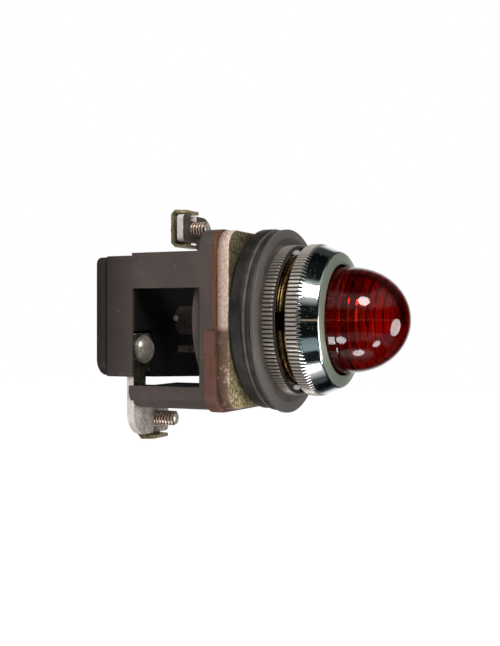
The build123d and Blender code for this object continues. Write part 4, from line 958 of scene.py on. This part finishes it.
# Studio room. The camera sees white. Matt surfaces get an even fill. Glass and metal
# see the white backdrop behind the light, and elsewhere a dark room with a few pale
# bands at their heights (-1 is straight down, 1 straight up), and three small lamps near
# the floor, each with its width in degrees. The flash by the camera shows in glass alone,
# where the lens's prisms send it back.
scene.view_settings.view_transform = "Standard"
world = bpy.data.worlds.new("studio")
scene.world = world
world.use_nodes = True
room = world.node_tree
room.nodes.clear()
path = add(room, "LightPath")
direction = add(room, "TexCoord").outputs["Generated"]
upward = add(room, "SeparateXYZ", {0: direction}).outputs[2]
level = add(room, "MapRange", {VALUE: upward}, {LOW: -1.0, HIGH: 1.0})
bands = add(room, "ValToRGB", {0: level})
heights = [
    (-1.0, "#e0e2e2"), (-0.93, "#d4d6d6"), (-0.89, "#1b2022"), (-0.74, "#1b2022"),
    (-0.70, "#93a1a6"), (-0.47, "#7d8b90"), (-0.43, "#0f1312"), (-0.03, "#0d1110"),
    (-0.015, "#c0a892"), (0.0, "#c0a892"), (0.015, "#0d1110"), (0.34, "#141a19"),
    (0.48, "#a9afad"), (0.82, "#a9afad"), (0.88, "#141a19"), (1.0, "#101414"),
]
stops = bands.color_ramp.elements
for count, (height, colour) in enumerate(heights):
    stop = stops[count] if count < 2 else stops.new(1.0)
    stop.position = (height + 1) / 2
    stop.color = linear(colour)
ahead = add(room, "VectorMath", {0: direction}, {1: LOOK}, operation="DOT_PRODUCT")
beside = add(room, "MapRange", {VALUE: ahead}, {LOW: -0.1, HIGH: 0.15, TO_HIGH: 0.9})
mirrored = add(room, "Mix", {FACTOR: beside, FIRST: bands}, {SECOND: "#090b0b"}, **COLOUR)
backdrop = add(room, "MapRange", {VALUE: ahead}, {LOW: 0.72, HIGH: 0.93}, interpolation_type="SMOOTHSTEP")
mirrored = add(room, "Mix", {FACTOR: backdrop, FIRST: mirrored}, {SECOND: "#ffffff"}, **COLOUR)
flash = add(room, "MapRange", {VALUE: ahead}, {LOW: -0.84, HIGH: -0.92})
flash = add(room, "Math", {0: flash, 1: path.outputs["Is Transmission Ray"]}, operation="MULTIPLY")
glints = None
small_lamps = [((-0.71, 0.20, -0.68), 8.0), ((-0.19, -0.14, -0.97), 8.0), ((-0.15, -0.63, -0.76), 6.5)]
for towards, width in small_lamps:
    aim = tuple(Vector(towards).normalized())
    near = add(room, "VectorMath", {0: direction}, {1: aim}, operation="DOT_PRODUCT")
    edge = cos(radians(width))
    spot = add(room, "MapRange", {VALUE: near}, {LOW: edge - 0.004, HIGH: edge + 0.002})
    glints = spot if glints is None else add(room, "Math", {0: glints, 1: spot}, operation="MAXIMUM")
lit = add(room, "Math", {0: glints, 1: flash}, operation="MAXIMUM")
mirrored = add(room, "Mix", {FACTOR: lit, FIRST: mirrored}, {SECOND: "#ffffff"}, **COLOUR)
spots = add(room, "MapRange", {VALUE: glints}, {TO_LOW: 1.0, TO_HIGH: 11.0})
behind_camera = add(room, "MapRange", {VALUE: flash}, {TO_LOW: 1.0, TO_HIGH: 3.0})
strength = add(room, "Math", {0: spots, 1: behind_camera}, operation="MAXIMUM")
fill = add(room, "MapRange", {VALUE: ahead}, {LOW: -1.0, HIGH: 1.0, TO_LOW: 0.74, TO_HIGH: 0.42})
white = add(room, "Background", None, {"Color": "#ffffff"})
fill = add(room, "Background", {"Strength": fill}, {"Color": "#ffffff"})
mirror = add(room, "Background", {"Color": mirrored, "Strength": strength})
rays = {0: path.outputs["Is Glossy Ray"], 1: path.outputs["Is Transmission Ray"]}
shiny = add(room, "Math", rays, operation="MAXIMUM")
unseen = add(room, "MixShader", {0: shiny, 1: fill, 2: mirror})
all_rays = add(room, "MixShader", {0: path.outputs["Is Camera Ray"], 1: unseen, 2: white})
add(room, "OutputWorld", {"Surface": all_rays})


def lamp(name, towards, distance, size, power):
    """Round area light at a distance in metres in a direction, aimed at the origin."""
    light = bpy.data.lights.new(name, "AREA")
    light.shape = "DISK"
    light.size = size
    light.energy = power
    made = bpy.data.objects.new(name, light)
    scene.collection.objects.link(made)
    aim = Vector(towards).normalized()
    made.location = aim * distance
    made.rotation_euler = (-aim).to_track_quat("-Z", "Y").to_euler()
    made.visible_camera = False


lamp("key", (-0.60, -0.47, 0.65), distance=0.6, size=0.21, power=1.9)
lamp("front", (0.26, -0.94, -0.21), distance=0.5, size=0.25, power=1.35)

# Pale floor well below the light, which is held by its panel. Sizes in metres.
FLOOR_Z = -0.15
FLOOR_HALF = 2.0
floor_mesh = bpy.data.meshes.new("floor")
corners = [(FLOOR_HALF * x, FLOOR_HALF * y, FLOOR_Z) for x, y in ((-1, -1), (1, -1), (1, 1), (-1, 1))]
floor_mesh.from_pydata(corners, [], [(0, 1, 2, 3)])
floor = bpy.data.objects.new("floor", floor_mesh)
scene.collection.objects.link(floor)
floor.visible_glossy = False
paper = bpy.data.materials.new("pale_paper")
paper.use_nodes = True
sheet = paper.node_tree
sheet.nodes.clear()
seen = add(sheet, "LightPath").outputs["Is Camera Ray"]
dull = add(sheet, "BsdfDiffuse", None, {"Color": "#f2f1ee"})
glow = add(sheet, "Emission", None, {"Color": "#ffffff", "Strength": 1.13})
share = add(sheet, "Math", {0: seen}, {1: 0.8}, operation="MULTIPLY")
mix = add(sheet, "MixShader", {0: share, 1: dull, 2: glow})
add(sheet, "OutputMaterial", {"Surface": mix})
floor_mesh.materials.append(paper)
